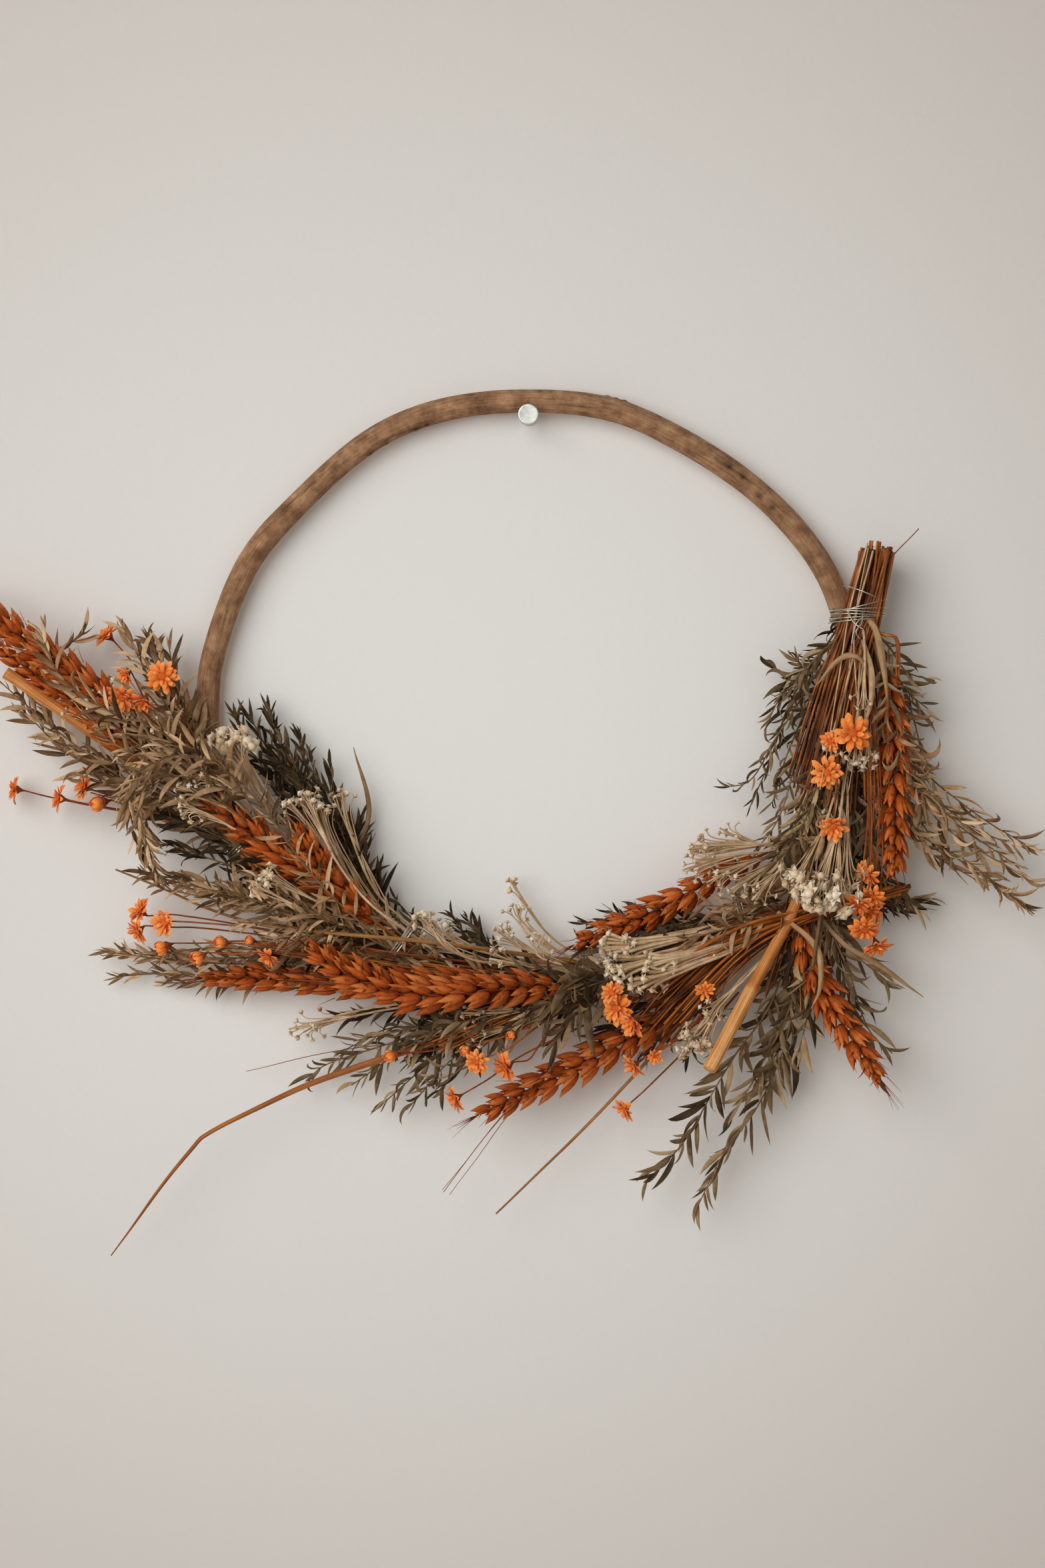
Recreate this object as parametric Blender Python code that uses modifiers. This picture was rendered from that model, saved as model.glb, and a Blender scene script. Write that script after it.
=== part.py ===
"""Harvest door wreath: a bent vine hoop on a wall peg, with six bunches of dried stems wired to it.

The wreath faces -Y. The origin is on the peg's axis, in the plane of the wall. Depth is measured
from the wall towards the viewer. Outlines and routes are drawn in millimetres, as (x, z) in the
plane of the wreath, at the drawn hoop size.
"""

import math

import bpy
import numpy as np

MM = 0.001

# Driving dimensions, in metres.
HOOP_DIAMETER = 0.340  # across the vine's centre line
VINE_DIAMETER = 0.0124
VINE_END_DIAMETER = 0.0072
WALL_GAP = 0.0028  # from the wall to the back of the vine
SHANK_DIAMETER = 0.0026
PEG_HEAD_DIAMETER = 0.0109
PEG_HEAD_THICKNESS = 0.0018
PEG_COLLAR_DIAMETER = 0.0090
PEG_COLLAR_THICKNESS = 0.0014
PEG_HEAD_GAP = 0.0012  # from the front of the vine to the back of the head
WIRE_DIAMETER = 0.0008
STALK_DIAMETER = 0.0024
THIN_STALK_DIAMETER = 0.0016
EAR_DIAMETER = 0.0135
FLOWER_DIAMETER = 0.0130
CREAM_HEAD_DIAMETER = 0.0130
CREAM_CLUSTER_DIAMETER = 0.0250
RUSH_BUNDLE_DIAMETER = 0.0114
SPRAY_DIAMETER = 0.0060
STRAW_DIAMETER = 0.0058
FIT_GAP = 0.0003  # between a wire or the peg and what it holds
LAY_GAP = 0.0005  # between one stem and the next

# Modelling steps.
STATION = 0.015  # between two points along a plain stalk
SAMPLE = 0.002  # between two balls that stand for a stem while the next one is laid
MOST_SLOPE = 0.45  # how steeply a stem climbs over another
WIRE_SIDES = 14  # corners in one turn of wire
TUBE_RESOLUTION = 1

DRAWN_HOOP = 340.0
DRAWN_TOP = 6.0  # the drawn height of the vine's centre line above the peg

# The vine's centre line, from its outer end at the bottom, up the right side, over the top and
# down the left side to its inner end, which laps over the first.
VINE_ROUTE = [
    (-36, -303.5), (-12, -303.5), (15, -302), (38, -298), (62, -290), (95, -273), (132, -247),
    (157, -213), (169, -175), (171, -135), (163, -98), (147, -69), (120, -41), (85, -17),
    (45, 1.2), (0, 6), (-45, 1.2), (-85, -16), (-125.5, -52.5), (-148.5, -81), (-164, -120),
    (-169, -150), (-166, -185), (-154, -217), (-130, -250), (-95, -276), (-50, -291.5),
    (-25, -293), (0, -293), (20, -291), (34, -286.5),
]

# Each kind of stem: its stalk's diameter and its outline from the tip inwards, as the distance
# from the tip in millimetres and the share of the head's diameter there.
KINDS = {
    "wheat": dict(
        stalk=STALK_DIAMETER, head=EAR_DIAMETER, colour=(0.48, 0.17, 0.045), roughness=0.75,
        outline=[(0, 0.16), (8, 0.55), (25, 0.9), (55, 1.0), (85, 0.85), (98, 0.45)],
    ),
    "short_wheat": dict(
        stalk=STALK_DIAMETER, head=EAR_DIAMETER, colour=(0.5, 0.18, 0.05), roughness=0.75,
        outline=[(0, 0.16), (8, 0.55), (22, 0.95), (45, 0.9), (60, 0.4)],
    ),
    "star_flower": dict(
        stalk=THIN_STALK_DIAMETER, head=FLOWER_DIAMETER, colour=(0.85, 0.26, 0.08), roughness=0.8,
        outline=[(0, 0.9), (3, 1.0), (7, 0.45), (11, 0.16)],
    ),
    "cream_sprig": dict(
        stalk=THIN_STALK_DIAMETER, head=CREAM_HEAD_DIAMETER, colour=(0.68, 0.6, 0.5),
        roughness=0.9, outline=[(0, 0.45), (5, 0.95), (13, 1.0), (22, 0.75), (36, 0.3)],
    ),
    "cream_cluster": dict(
        stalk=THIN_STALK_DIAMETER, head=CREAM_CLUSTER_DIAMETER, colour=(0.68, 0.6, 0.5),
        roughness=0.9, outline=[(0, 0.5), (8, 0.95), (20, 1.0), (32, 0.6), (46, 0.14)],
    ),
    "leaf_spray": dict(
        stalk=THIN_STALK_DIAMETER, head=SPRAY_DIAMETER, colour=(0.15, 0.125, 0.075),
        roughness=0.8, outline=[(0, 0.15), (10, 0.5), (30, 0.9), (60, 1.0), (85, 0.55)],
    ),
    "thick_straw": dict(
        stalk=STRAW_DIAMETER, head=STRAW_DIAMETER, colour=(0.58, 0.26, 0.08), roughness=0.6,
        outline=[(0, 1.0)],
    ),
    "thin_straw": dict(
        stalk=THIN_STALK_DIAMETER, head=THIN_STALK_DIAMETER, colour=(0.3, 0.15, 0.06),
        roughness=0.65, outline=[(0, 0.6), (20, 1.0)],
    ),
    "blade": dict(
        stalk=STALK_DIAMETER, head=STALK_DIAMETER, colour=(0.34, 0.12, 0.04), roughness=0.6,
        outline=[(0, 0.35), (45, 0.8), (120, 1.6), (190, 1.5), (230, 1.0)],
    ),
    "rush_bundle": dict(
        stalk=2 * STALK_DIAMETER, head=RUSH_BUNDLE_DIAMETER, colour=(0.2, 0.09, 0.04),
        roughness=0.7, outline=[(0, 0.9), (40, 1.0), (85, 0.7)],
    ),
}

# Each bunch: where its wire crosses the hoop, the way its stems head from there, how far their cut
# ends reach behind the wire, the wire's turns, and its stems from the lowest to the topmost. A
# stem is its name, its kind, how far beside the bunch's middle it passes the wire, the least
# depth of its tip, and its route beyond the wire. All in millimetres.
BUNCHES = {
    "far_left": dict(tie=(-148, -226), heading=(-0.62, 0.78), tail=26, turns=3, stems=[
        ("leaf_spray_far_left_low", "leaf_spray", 9, 18,
         [(-190, -211), (-222, -190), (-243, -177), (-252, -163), (-257, -146)]),
        ("thick_straw_far_left", "thick_straw", 4.5, 26,
         [(-178, -200), (-212, -180), (-250, -153.5), (-275, -136.5)]),
        ("wheat_far_left_lower", "wheat", 0, 20,
         [(-180, -192), (-206, -178), (-240, -151), (-277, -125)]),
        ("wheat_far_left_upper", "wheat", -3.5, 14,
         [(-182, -182), (-226, -147), (-262, -121), (-298, -95)]),
        ("star_flower_far_left", "star_flower", -9.5, 16,
         [(-172, -184), (-192, -152), (-209, -131), (-221, -118)]),
        ("leaf_spray_far_left_mid", "leaf_spray", -6.5, 28,
         [(-178, -184), (-205, -166), (-232, -149), (-246, -136), (-252, -116)]),
        ("leaf_spray_far_left_top", "leaf_spray", -3, 18,
         [(-168, -190), (-186, -158), (-197, -120)]),
        ("star_flower_far_left_front", "star_flower", 0, 38,
         [(-166, -190), (-180, -160), (-190, -140)]),
        ("star_flower_far_left_row", "star_flower", 6, 12,
         [(-178, -218), (-205, -212), (-238, -206), (-270, -199)]),
    ]),
    "left": dict(tie=(-68, -280), heading=(-0.8, 0.6), tail=28, turns=3, stems=[
        ("leaf_spray_left_inner", "leaf_spray", -9, 12,
         [(-92, -245), (-118, -212), (-130, -185), (-136, -158)]),
        ("leaf_spray_left_dark", "leaf_spray", 6, 16,
         [(-105, -258), (-135, -240), (-165, -222), (-196, -211)]),
        ("leaf_spray_left_low", "leaf_spray", 9, 26,
         [(-105, -262), (-140, -256), (-175, -247), (-200, -243)]),
        ("wheat_left_outer", "wheat", 1, 26,
         [(-95, -258), (-120, -240), (-147, -220), (-173, -203)]),
        ("cream_sprig_left_upper", "cream_sprig", -6, 28,
         [(-90, -252), (-128, -222), (-145, -195), (-156, -170)]),
        ("wheat_left_inner", "short_wheat", -3, 32,
         [(-82, -266), (-97, -250), (-110, -236), (-120, -222)]),
        ("cream_sprig_left_inner", "cream_sprig", -9, 36,
         [(-82, -258), (-98, -238), (-110, -215), (-117, -200)]),
        ("leaf_spray_left_front", "leaf_spray", 3, 50,
         [(-110, -245), (-145, -200), (-175, -180), (-200, -192), (-199, -215), (-194, -236)]),
    ]),
    "bottom": dict(tie=(28, -298), heading=(-1, 0.05), tail=30, turns=3, stems=[
        ("leaf_spray_bottom_far", "leaf_spray", 2, 10,
         [(-60, -292), (-120, -287), (-175, -288), (-222, -284)]),
        ("leaf_spray_bottom_low", "leaf_spray", 10, 12,
         [(-10, -316), (-40, -323), (-70, -324), (-100, -338)]),
        ("thin_straw_bottom", "thin_straw", -8, 14,
         [(-60, -277), (-130, -271), (-165, -263), (-190, -252), (-220, -240)]),
        ("wheat_bottom_far", "wheat", 4, 18,
         [(-60, -304), (-110, -300), (-140, -298), (-168, -298)]),
        ("star_flower_bottom_far", "star_flower", -2, 22,
         [(-80, -282), (-140, -272), (-175, -266), (-203, -263)]),
        ("cream_sprig_bottom", "cream_sprig", -6, 20,
         [(-25, -288), (-45, -278), (-55, -264)]),
        ("long_blade", "blade", 8, 30,
         [(-25, -322), (-60, -333), (-110, -348), (-171, -381), (-219, -443)]),
        ("wheat_bottom_near", "short_wheat", -1, 34,
         [(-15, -299), (-45, -300), (-74, -299)]),
        ("wheat_bottom_front", "wheat", 2, 46,
         [(-15, -302), (-50, -305), (-85, -298), (-113, -281)]),
        ("star_flower_bottom_low", "star_flower", 9, 38,
         [(-20, -325), (-45, -334), (-70, -337)]),
    ]),
    "lower": dict(tie=(112, -266), heading=(-0.974, -0.225), tail=78, turns=3, stems=[
        ("cream_sprig_lower_tall", "cream_sprig", -7, 12,
         [(60, -277), (25, -284), (6, -270), (-10, -246)]),
        ("leaf_spray_lower", "leaf_spray", 3, 26,
         [(70, -290), (35, -300), (8, -312), (-22, -323)]),
        ("cream_sprig_lower_brush", "cream_sprig", -2, 30,
         [(85, -280), (60, -284), (36, -288)]),
        ("thin_straw_lower", "thin_straw", 6, 24,
         [(98, -300), (75, -327), (55, -350), (30, -376), (-17, -421)]),
        ("wheat_lower", "wheat", 4, 34,
         [(103, -288), (85, -311), (50, -331), (12, -350), (-23, -367)]),
        ("cream_sprig_lower_end", "cream_sprig", 8, 40,
         [(107, -290), (98, -312), (87, -334)]),
        ("star_flower_lower", "star_flower", 1, 46,
         [(85, -288), (62, -302), (46, -312)]),
    ]),
    "corner": dict(tie=(155, -220), heading=(-0.35, -0.94), tail=26, turns=3, stems=[
        ("cream_sprig_corner", "cream_sprig", -10, 16,
         [(135, -226), (112, -230), (86, -232)]),
        ("wheat_corner_inner", "wheat", -7, 24,
         [(128, -231), (104, -242), (66, -263), (27, -279)]),
        ("leaf_spray_corner_outer", "leaf_spray", 0, 26,
         [(143, -275), (137, -325), (122, -362), (105, -385), (88, -418)]),
        ("leaf_spray_corner_inner", "leaf_spray", -3, 30,
         [(140, -268), (128, -310), (105, -343), (80, -385), (60, -404)]),
        ("leaf_spray_corner_right", "leaf_spray", 7, 22,
         [(161, -262), (166, -300), (173, -325), (183, -347)]),
        ("wheat_corner_outer", "wheat", 3, 44,
         [(146, -255), (144, -282), (160, -315), (181, -347)]),
        ("thick_straw_corner", "thick_straw", -5, 52,
         [(140, -258), (116, -302), (93, -343)]),
    ]),
    "right": dict(tie=(174, -107), heading=(-0.235, -0.972), tail=33, turns=5, stems=[
        ("leaf_spray_right_inner", "leaf_spray", -7, 14,
         [(152, -130), (137, -155), (127, -185), (116, -210)]),
        ("leaf_spray_right_outer", "leaf_spray", 8, 22,
         [(190, -140), (200, -178), (215, -205), (240, -222), (266, -231)]),
        ("rush_bundle_right", "rush_bundle", -2.5, 20,
         [(164, -135), (152, -165), (141, -195), (136, -215)]),
        ("leaf_spray_right_low", "leaf_spray", 5, 30,
         [(188, -150), (196, -195), (215, -228), (242, -246), (264, -264)]),
        ("cream_sprig_right_small", "cream_sprig", 1, 34,
         [(174, -135), (174, -165), (172, -188)]),
        ("star_flower_right_low", "star_flower", 3, 40,
         [(176, -150), (178, -200), (177, -262)]),
        ("cream_sprig_right_big", "cream_cluster", -2, 44,
         [(168, -150), (162, -200), (149, -260)]),
        ("star_flower_right_side", "star_flower", -5, 40,
         [(166, -135), (160, -165), (155, -190)]),
        ("star_flower_right_top", "star_flower", -1, 46,
         [(172, -130), (170, -150), (168, -170)]),
        ("wheat_right", "wheat", 6, 42,
         [(186, -125), (190, -150), (191, -200), (190, -241)]),
    ]),
}

LAP_TIE = dict(at=(-20, -298), along=(-1, 0.0), turns=3)

VINE_COLOUR, VINE_ROUGHNESS = (0.2, 0.125, 0.08), 0.85
WIRE_COLOUR, WIRE_ROUGHNESS = (0.72, 0.7, 0.66), 0.35
PEG_COLOUR, PEG_ROUGHNESS = (0.75, 0.77, 0.74), 0.3

vine_radius = VINE_DIAMETER / 2
vine_depth = WALL_GAP + vine_radius
wire_radius = WIRE_DIAMETER / 2
spread = HOOP_DIAMETER / (DRAWN_HOOP * MM)
top_centre = SHANK_DIAMETER / 2 + FIT_GAP + vine_radius


def placed(x, z):
    """A drawn point in metres: the hoop's top stays seated on the peg, whatever its size."""
    return np.array([x * MM * spread, top_centre + (z - DRAWN_TOP) * MM * spread])


def smooth_line(points, steps=10):
    """Points along the Catmull-Rom curve through the given ones."""
    points = [np.asarray(point, float) for point in points]
    ends = [2 * points[0] - points[1], *points, 2 * points[-1] - points[-2]]
    line = []
    for a, b, c, d in zip(ends, ends[1:], ends[2:], ends[3:]):
        for step in range(steps):
            t = step / steps
            line.append(
                0.5 * (2 * b + (c - a) * t + (2 * a - 5 * b + 4 * c - d) * t**2
                       + (3 * b - a - 3 * c + d) * t**3)
            )
    return np.array([*line, points[-1]])


def along(line, distances):
    """The points at these distances from the line's last point, measured along it."""
    back = line[::-1]
    travelled = np.concatenate([[0], np.linalg.norm(np.diff(back, axis=0), axis=1).cumsum()])
    return np.stack([np.interp(distances, travelled, back[:, k]) for k in range(2)], 1), travelled[-1]


class Laid:
    """The balls that stand for every stem and wire already in place: x, depth, z and radius."""

    def __init__(self):
        self.balls = np.zeros((0, 4))

    def add(self, points, radii):
        rows = []
        for a, b, ra, rb in zip(points, points[1:], radii, radii[1:]):
            count = max(1, math.ceil(np.linalg.norm(b - a) / SAMPLE))
            for step in range(count + 1):
                t = step / count
                rows.append([*(a + (b - a) * t), ra + (rb - ra) * t])
        self.balls = np.concatenate([self.balls, rows])

    def depth_over(self, x, z, radius):
        """The depth at which a ball at (x, z) clears everything laid, or 0 where nothing is."""
        reach = self.balls[:, 3] + radius + LAY_GAP
        apart = np.hypot(self.balls[:, 0] - x, self.balls[:, 2] - z)
        near = apart < reach
        if not near.any():
            return 0.0
        return float((self.balls[near, 1] + np.sqrt(reach[near] ** 2 - apart[near] ** 2)).max())


def stem_stations(kind, length):
    """Distances from the tip, and the radius at each, from the tip to the cut end."""
    inner = [(d * MM, share * kind["head"] / 2) for d, share in kind["outline"]]
    inner = [row for row in inner if row[0] < length - STATION / 2]
    last = inner[-1][0]
    count = max(1, round((length - last) / STATION))
    stalk = [(last + (length - last) * step / count, kind["stalk"] / 2)
             for step in range(1, count + 1)]
    stations = np.array(inner + stalk)
    return stations[:, 0], stations[:, 1]


def laid_route(line, kind, tie, tip_depth, laid):
    """The stem's points in space, laid over what is in place, and its radii, tip first."""
    _, length = along(line, [0])
    distances, radii = stem_stations(kind, length)
    flat, _ = along(line, distances)
    from_tie = np.hypot(*(flat - tie).T)
    past_tie = distances < distances[np.argmin(from_tie)]
    reach = np.where(past_tie, from_tie / max(from_tie[0], MM), 0)
    depth = vine_depth + (tip_depth - vine_depth) * reach
    for k, (start, end) in enumerate(zip(distances, distances[1:])):
        count = math.ceil((end - start) / SAMPLE)
        for t in np.linspace(0, 1, count + 1):
            x, z = flat[k] + (flat[k + 1] - flat[k]) * t
            need = laid.depth_over(x, z, radii[k] + (radii[k + 1] - radii[k]) * t)
            depth[k] = max(depth[k], need)
            depth[k + 1] = max(depth[k + 1], need)
    climb = np.abs(distances[:, None] - distances[None, :]) * MOST_SLOPE
    depth = (depth[None, :] - climb).max(axis=1)
    return np.stack([flat[:, 0], depth, flat[:, 1]], 1), radii


def wire_route(centre, heading, turns, laid, own):
    """The turns of a wire pulled round the vine, its own bunch and what else lies in its way.

    The bunch's balls are those from number own on."""
    run = np.asarray(heading, float) / np.hypot(*heading)
    side = np.array([-run[1], run[0]])
    pitch = WIRE_DIAMETER + 2 * FIT_GAP
    half = turns * pitch / 2
    offset = laid.balls[:, [0, 2]] - centre
    u, v, w, r = offset @ run, offset @ side, laid.balls[:, 1], laid.balls[:, 3]
    ball = r + wire_radius + FIT_GAP
    past = np.clip(np.abs(u) - half, 0, None)  # how far outside the wire's turns a ball's centre is
    beside = past < ball
    in_bunch = np.arange(len(laid.balls)) >= own
    held = beside & (in_bunch | (np.hypot(v, w - vine_depth) < 1.6 * VINE_DIAMETER))
    angles = np.arange(WIRE_SIDES) * 2 * math.pi / WIRE_SIDES
    out = np.outer(v, np.cos(angles)) + np.outer(w, np.sin(angles))
    full = np.sqrt(np.clip(ball**2 - past**2, 0, None))[:, None]
    while True:
        support = (out[held] + full[held]).max(axis=0)
        apart = (out - full > support + wire_radius).any(axis=1)
        cut = beside & ~held & ~apart
        if not cut.any():
            break
        held |= cut
    corners = []
    for k in range(WIRE_SIDES):
        pair = [angles[k], angles[(k + 1) % WIRE_SIDES]]
        lines = np.stack([np.cos(pair), np.sin(pair)], 1)
        corners.append(np.linalg.solve(lines, [support[k], support[(k + 1) % WIRE_SIDES]]))
    route = []
    for step in range(turns * WIRE_SIDES + 1):
        v_at, w_at = corners[step % WIRE_SIDES]
        x, z = centre + run * (pitch * step / WIRE_SIDES - half) + side * v_at
        route.append([x, w_at, z])
    return np.array(route)


def material(name, colour, roughness, metallic=0.0):
    made = bpy.data.materials.new(name + "_finish")
    made.use_nodes = True
    shader = made.node_tree.nodes["Principled BSDF"]
    shader.inputs["Base Color"].default_value = (*colour, 1)
    shader.inputs["Roughness"].default_value = roughness
    shader.inputs["Metallic"].default_value = metallic
    return made


def tube(name, points, radii, collection, pivot, finish):
    """A round tube through points given as x, depth and z, with a radius at each."""
    curve = bpy.data.curves.new(name, "CURVE")
    curve.dimensions = "3D"
    curve.bevel_depth = MM
    curve.bevel_resolution = TUBE_RESOLUTION
    curve.use_fill_caps = True
    spline = curve.splines.new("POLY")
    spline.points.add(len(points) - 1)
    for point, (x, depth, z), radius in zip(spline.points, points, radii):
        point.co = (x, -depth, z, 1)
        point.radius = radius / MM
    curve.materials.append(finish)
    made = bpy.data.objects.new(name, curve)
    made.parent = pivot
    collection.objects.link(made)
    return made


def vine_points():
    line = smooth_line([placed(x, z) for x, z in VINE_ROUTE])
    _, length = along(line, [0])
    distances = np.linspace(0, length, round(length / STATION) + 1)
    flat, _ = along(line, distances)
    taper = 60 * MM
    to_end = np.minimum(distances, length - distances)
    thin = np.clip(1 - to_end / taper, 0, 1)
    radii = vine_radius + (VINE_END_DIAMETER / 2 - vine_radius) * thin
    depth = np.full(len(flat), vine_depth)
    return np.stack([flat[:, 0], depth, flat[:, 1]], 1), radii


def hanging_peg(collection):
    """A turned peg: a collar on the wall, a thin shank and a flat round head."""
    head_back = WALL_GAP + VINE_DIAMETER + PEG_HEAD_GAP
    head_front = head_back + PEG_HEAD_THICKNESS
    rim = PEG_HEAD_THICKNESS / 4
    profile = [
        (0, head_front), (PEG_HEAD_DIAMETER / 2 - rim, head_front),
        (PEG_HEAD_DIAMETER / 2, head_front - rim), (PEG_HEAD_DIAMETER / 2, head_back),
        (SHANK_DIAMETER / 2, head_back), (SHANK_DIAMETER / 2, PEG_COLLAR_THICKNESS),
        (PEG_COLLAR_DIAMETER / 2, PEG_COLLAR_THICKNESS), (PEG_COLLAR_DIAMETER / 2, 0), (0, 0),
    ]
    mesh = bpy.data.meshes.new("hanging_peg")
    edges = [(k, k + 1) for k in range(len(profile) - 1)]
    mesh.from_pydata([(x, 0, z) for x, z in profile], edges, [])
    peg = bpy.data.objects.new("hanging_peg", mesh)
    peg.rotation_euler = (math.pi / 2, 0, 0)
    turned = peg.modifiers.new("turned", "SCREW")
    turned.axis = "Z"
    turned.steps = turned.render_steps = 28
    turned.use_merge_vertices = True
    turned.merge_threshold = 0.00001
    mesh.materials.append(material("hanging_peg", PEG_COLOUR, PEG_ROUGHNESS, 1.0))
    collection.objects.link(peg)
    return peg


def main():
    for old in list(bpy.data.objects):
        bpy.data.objects.remove(old)
    wreath = bpy.data.collections.new("harvest_door_wreath")
    bpy.context.scene.collection.children.link(wreath)
    pivot = bpy.data.objects.new("hang_axis", None)
    wreath.objects.link(pivot)

    hanging_peg(wreath)
    laid = Laid()
    points, radii = vine_points()
    laid.add(points, radii)
    tube("vine_hoop", points, radii, wreath, pivot,
         material("vine_hoop", VINE_COLOUR, VINE_ROUGHNESS))

    def bind(name, at, heading, turns, own):
        route = wire_route(placed(*at), heading, turns, laid, own)
        wire_radii = np.full(len(route), wire_radius)
        laid.add(route, wire_radii)
        tube(name, route, wire_radii, wreath, pivot,
             material(name, WIRE_COLOUR, WIRE_ROUGHNESS, 1.0))

    bind("lap_wire", LAP_TIE["at"], LAP_TIE["along"], LAP_TIE["turns"], len(laid.balls))
    for place, bunch in BUNCHES.items():
        tie = placed(*bunch["tie"])
        run = np.asarray(bunch["heading"]) / np.hypot(*bunch["heading"])
        side = np.array([-run[1], run[0]])
        first_ball = len(laid.balls)
        for name, kind_name, beside, tip_depth, route in bunch["stems"]:
            kind = KINDS[kind_name]
            held = tie + side * beside * MM
            cut_end = held - run * bunch["tail"] * MM
            line = smooth_line([cut_end, held, *[placed(x, z) for x, z in route]])
            points, radii = laid_route(line, kind, tie, tip_depth * MM, laid)
            laid.add(points, radii)
            tube(name, points, radii, wreath, pivot,
                 material(name, kind["colour"], kind["roughness"]))
        bind("tie_wire_" + place, bunch["tie"], bunch["heading"], bunch["turns"], first_ball)


main()
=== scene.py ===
import math
import random
from collections import namedtuple

import bmesh
import bpy
import numpy as np
from mathutils import Matrix, Vector, noise


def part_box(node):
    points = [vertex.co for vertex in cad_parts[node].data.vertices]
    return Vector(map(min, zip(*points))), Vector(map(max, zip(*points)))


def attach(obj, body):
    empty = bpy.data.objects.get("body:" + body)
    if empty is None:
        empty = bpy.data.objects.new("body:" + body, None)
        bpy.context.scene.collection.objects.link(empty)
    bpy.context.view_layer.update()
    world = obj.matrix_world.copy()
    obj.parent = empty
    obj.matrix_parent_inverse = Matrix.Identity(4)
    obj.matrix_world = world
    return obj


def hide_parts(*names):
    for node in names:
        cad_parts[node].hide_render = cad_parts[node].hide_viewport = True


noise.seed_set(5)  # without a seed the stems waver another way on each run

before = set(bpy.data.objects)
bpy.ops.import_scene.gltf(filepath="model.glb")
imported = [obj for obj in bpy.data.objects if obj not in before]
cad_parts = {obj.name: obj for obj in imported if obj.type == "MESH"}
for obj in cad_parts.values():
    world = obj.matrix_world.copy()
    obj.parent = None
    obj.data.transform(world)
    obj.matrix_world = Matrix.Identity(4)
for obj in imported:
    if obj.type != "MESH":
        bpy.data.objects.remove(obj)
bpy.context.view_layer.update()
print("frame loaded:", len(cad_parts), "nodes")

# Plants are laid out in millimetres: x to the right, z up, depth from the wall to the viewer.
mm = 0.001
layout = dict(
    hoopTop=12.2, leastDepth=0.7, ringEdge=6.5 * mm, step=3.0,
    cuts=12,  # points between two given ones on a smooth line
    wave=25, heldRings=4, stemWobble=0.25,  # waves along a stem, per metre, and how far they push it
)
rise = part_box("vine_hoop")[1].z / mm - layout["hoopTop"]
toViewer = np.array([0.0, -1.0, 0.0])
headings = {
    "far_left": (-0.62, 0.78), "left": (-0.8, 0.6), "bottom": (-1.0, 0.05), "blade": (-1.0, 0.05),
    "lower": (-0.974, -0.225), "corner": (-0.35, -0.94), "right": (-0.235, -0.972),
}


def at(x, z, depth):
    return np.array([x * mm, -depth * mm, (z + rise) * mm])


def unit(v):
    return v / np.linalg.norm(v, axis=-1, keepdims=True)


def anyDirection(rand):
    return unit(np.array([rand.gauss(0, 1), rand.gauss(0, 1), rand.gauss(0, 1)]))


def anyTone(rand, middle, spread):
    # where in its finish's colours a leaf, husk or head lies, from 0 to 1
    return min(1, max(0, rand.gauss(middle, spread)))


# shapes: arrays of points and faces, so that one modelled leaf can be set down many times

Shape = namedtuple("Shape", "co corners sizes finish strand tone")


def shapeOf(bm, finish=0):
    mesh = bpy.data.meshes.new("shape")
    bm.to_mesh(mesh)
    bm.free()
    co = np.empty(len(mesh.vertices) * 3)
    mesh.vertices.foreach_get("co", co)
    corners = np.empty(len(mesh.loops), int)
    mesh.loops.foreach_get("vertex_index", corners)
    sizes = np.empty(len(mesh.polygons), int)
    mesh.polygons.foreach_get("loop_total", sizes)
    bpy.data.meshes.remove(mesh)
    co = co.reshape(-1, 3)
    return Shape(co, corners, sizes, np.full(len(sizes), finish), np.zeros_like(co), np.zeros(len(co)))


def joined(shapes):
    starts = np.cumsum([0] + [len(s.co) for s in shapes[:-1]])
    return Shape(
        np.concatenate([s.co for s in shapes]),
        np.concatenate([s.corners + start for s, start in zip(shapes, starts)]),
        np.concatenate([s.sizes for s in shapes]),
        np.concatenate([s.finish for s in shapes]),
        np.concatenate([s.strand for s in shapes]),
        np.concatenate([s.tone for s in shapes]),
    )


def setDown(shape, places, tone=None):
    # places: (position, ahead, out, scale); the shape's Z goes ahead and its Y goes out
    made = []
    for k, (position, ahead, out, scale) in enumerate(places):
        ahead = unit(np.asarray(ahead, float))
        out = np.asarray(out, float)
        out = unit(out - ahead * (out @ ahead))
        turn = np.stack([np.cross(out, ahead), out, ahead], 1)
        co = (shape.co * scale) @ turn.T + position
        tones = shape.tone if tone is None else np.full(len(co), tone[k])
        made.append(shape._replace(co=co, tone=tones))
    return joined(made)


def addPiece(name, shapes, finishes, nodes=(), body="wreath"):
    shape = joined(shapes)
    co = shape.co.copy()
    if body == "wreath":
        co[:, 1] = np.minimum(co[:, 1], -layout["leastDepth"] * mm)
    mesh = bpy.data.meshes.new(name)
    mesh.vertices.add(len(co))
    mesh.vertices.foreach_set("co", co.ravel())
    mesh.loops.add(len(shape.corners))
    mesh.loops.foreach_set("vertex_index", shape.corners)
    mesh.polygons.add(len(shape.sizes))
    mesh.polygons.foreach_set("loop_start", np.cumsum(shape.sizes) - shape.sizes)
    mesh.polygons.foreach_set("material_index", shape.finish)
    mesh.attributes.new("strand", "FLOAT_VECTOR", "POINT").data.foreach_set("vector", shape.strand.ravel())
    mesh.attributes.new("tone", "FLOAT", "POINT").data.foreach_set("value", shape.tone)
    for finish in finishes:
        mesh.materials.append(finish)
    mesh.update(calc_edges=True)
    mesh.validate()
    mesh.shade_smooth()
    piece = bpy.data.objects.new(name, mesh)
    bpy.context.scene.collection.objects.link(piece)
    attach(piece, body)
    if nodes:
        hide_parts(*nodes)
    return piece


# lines

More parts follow.
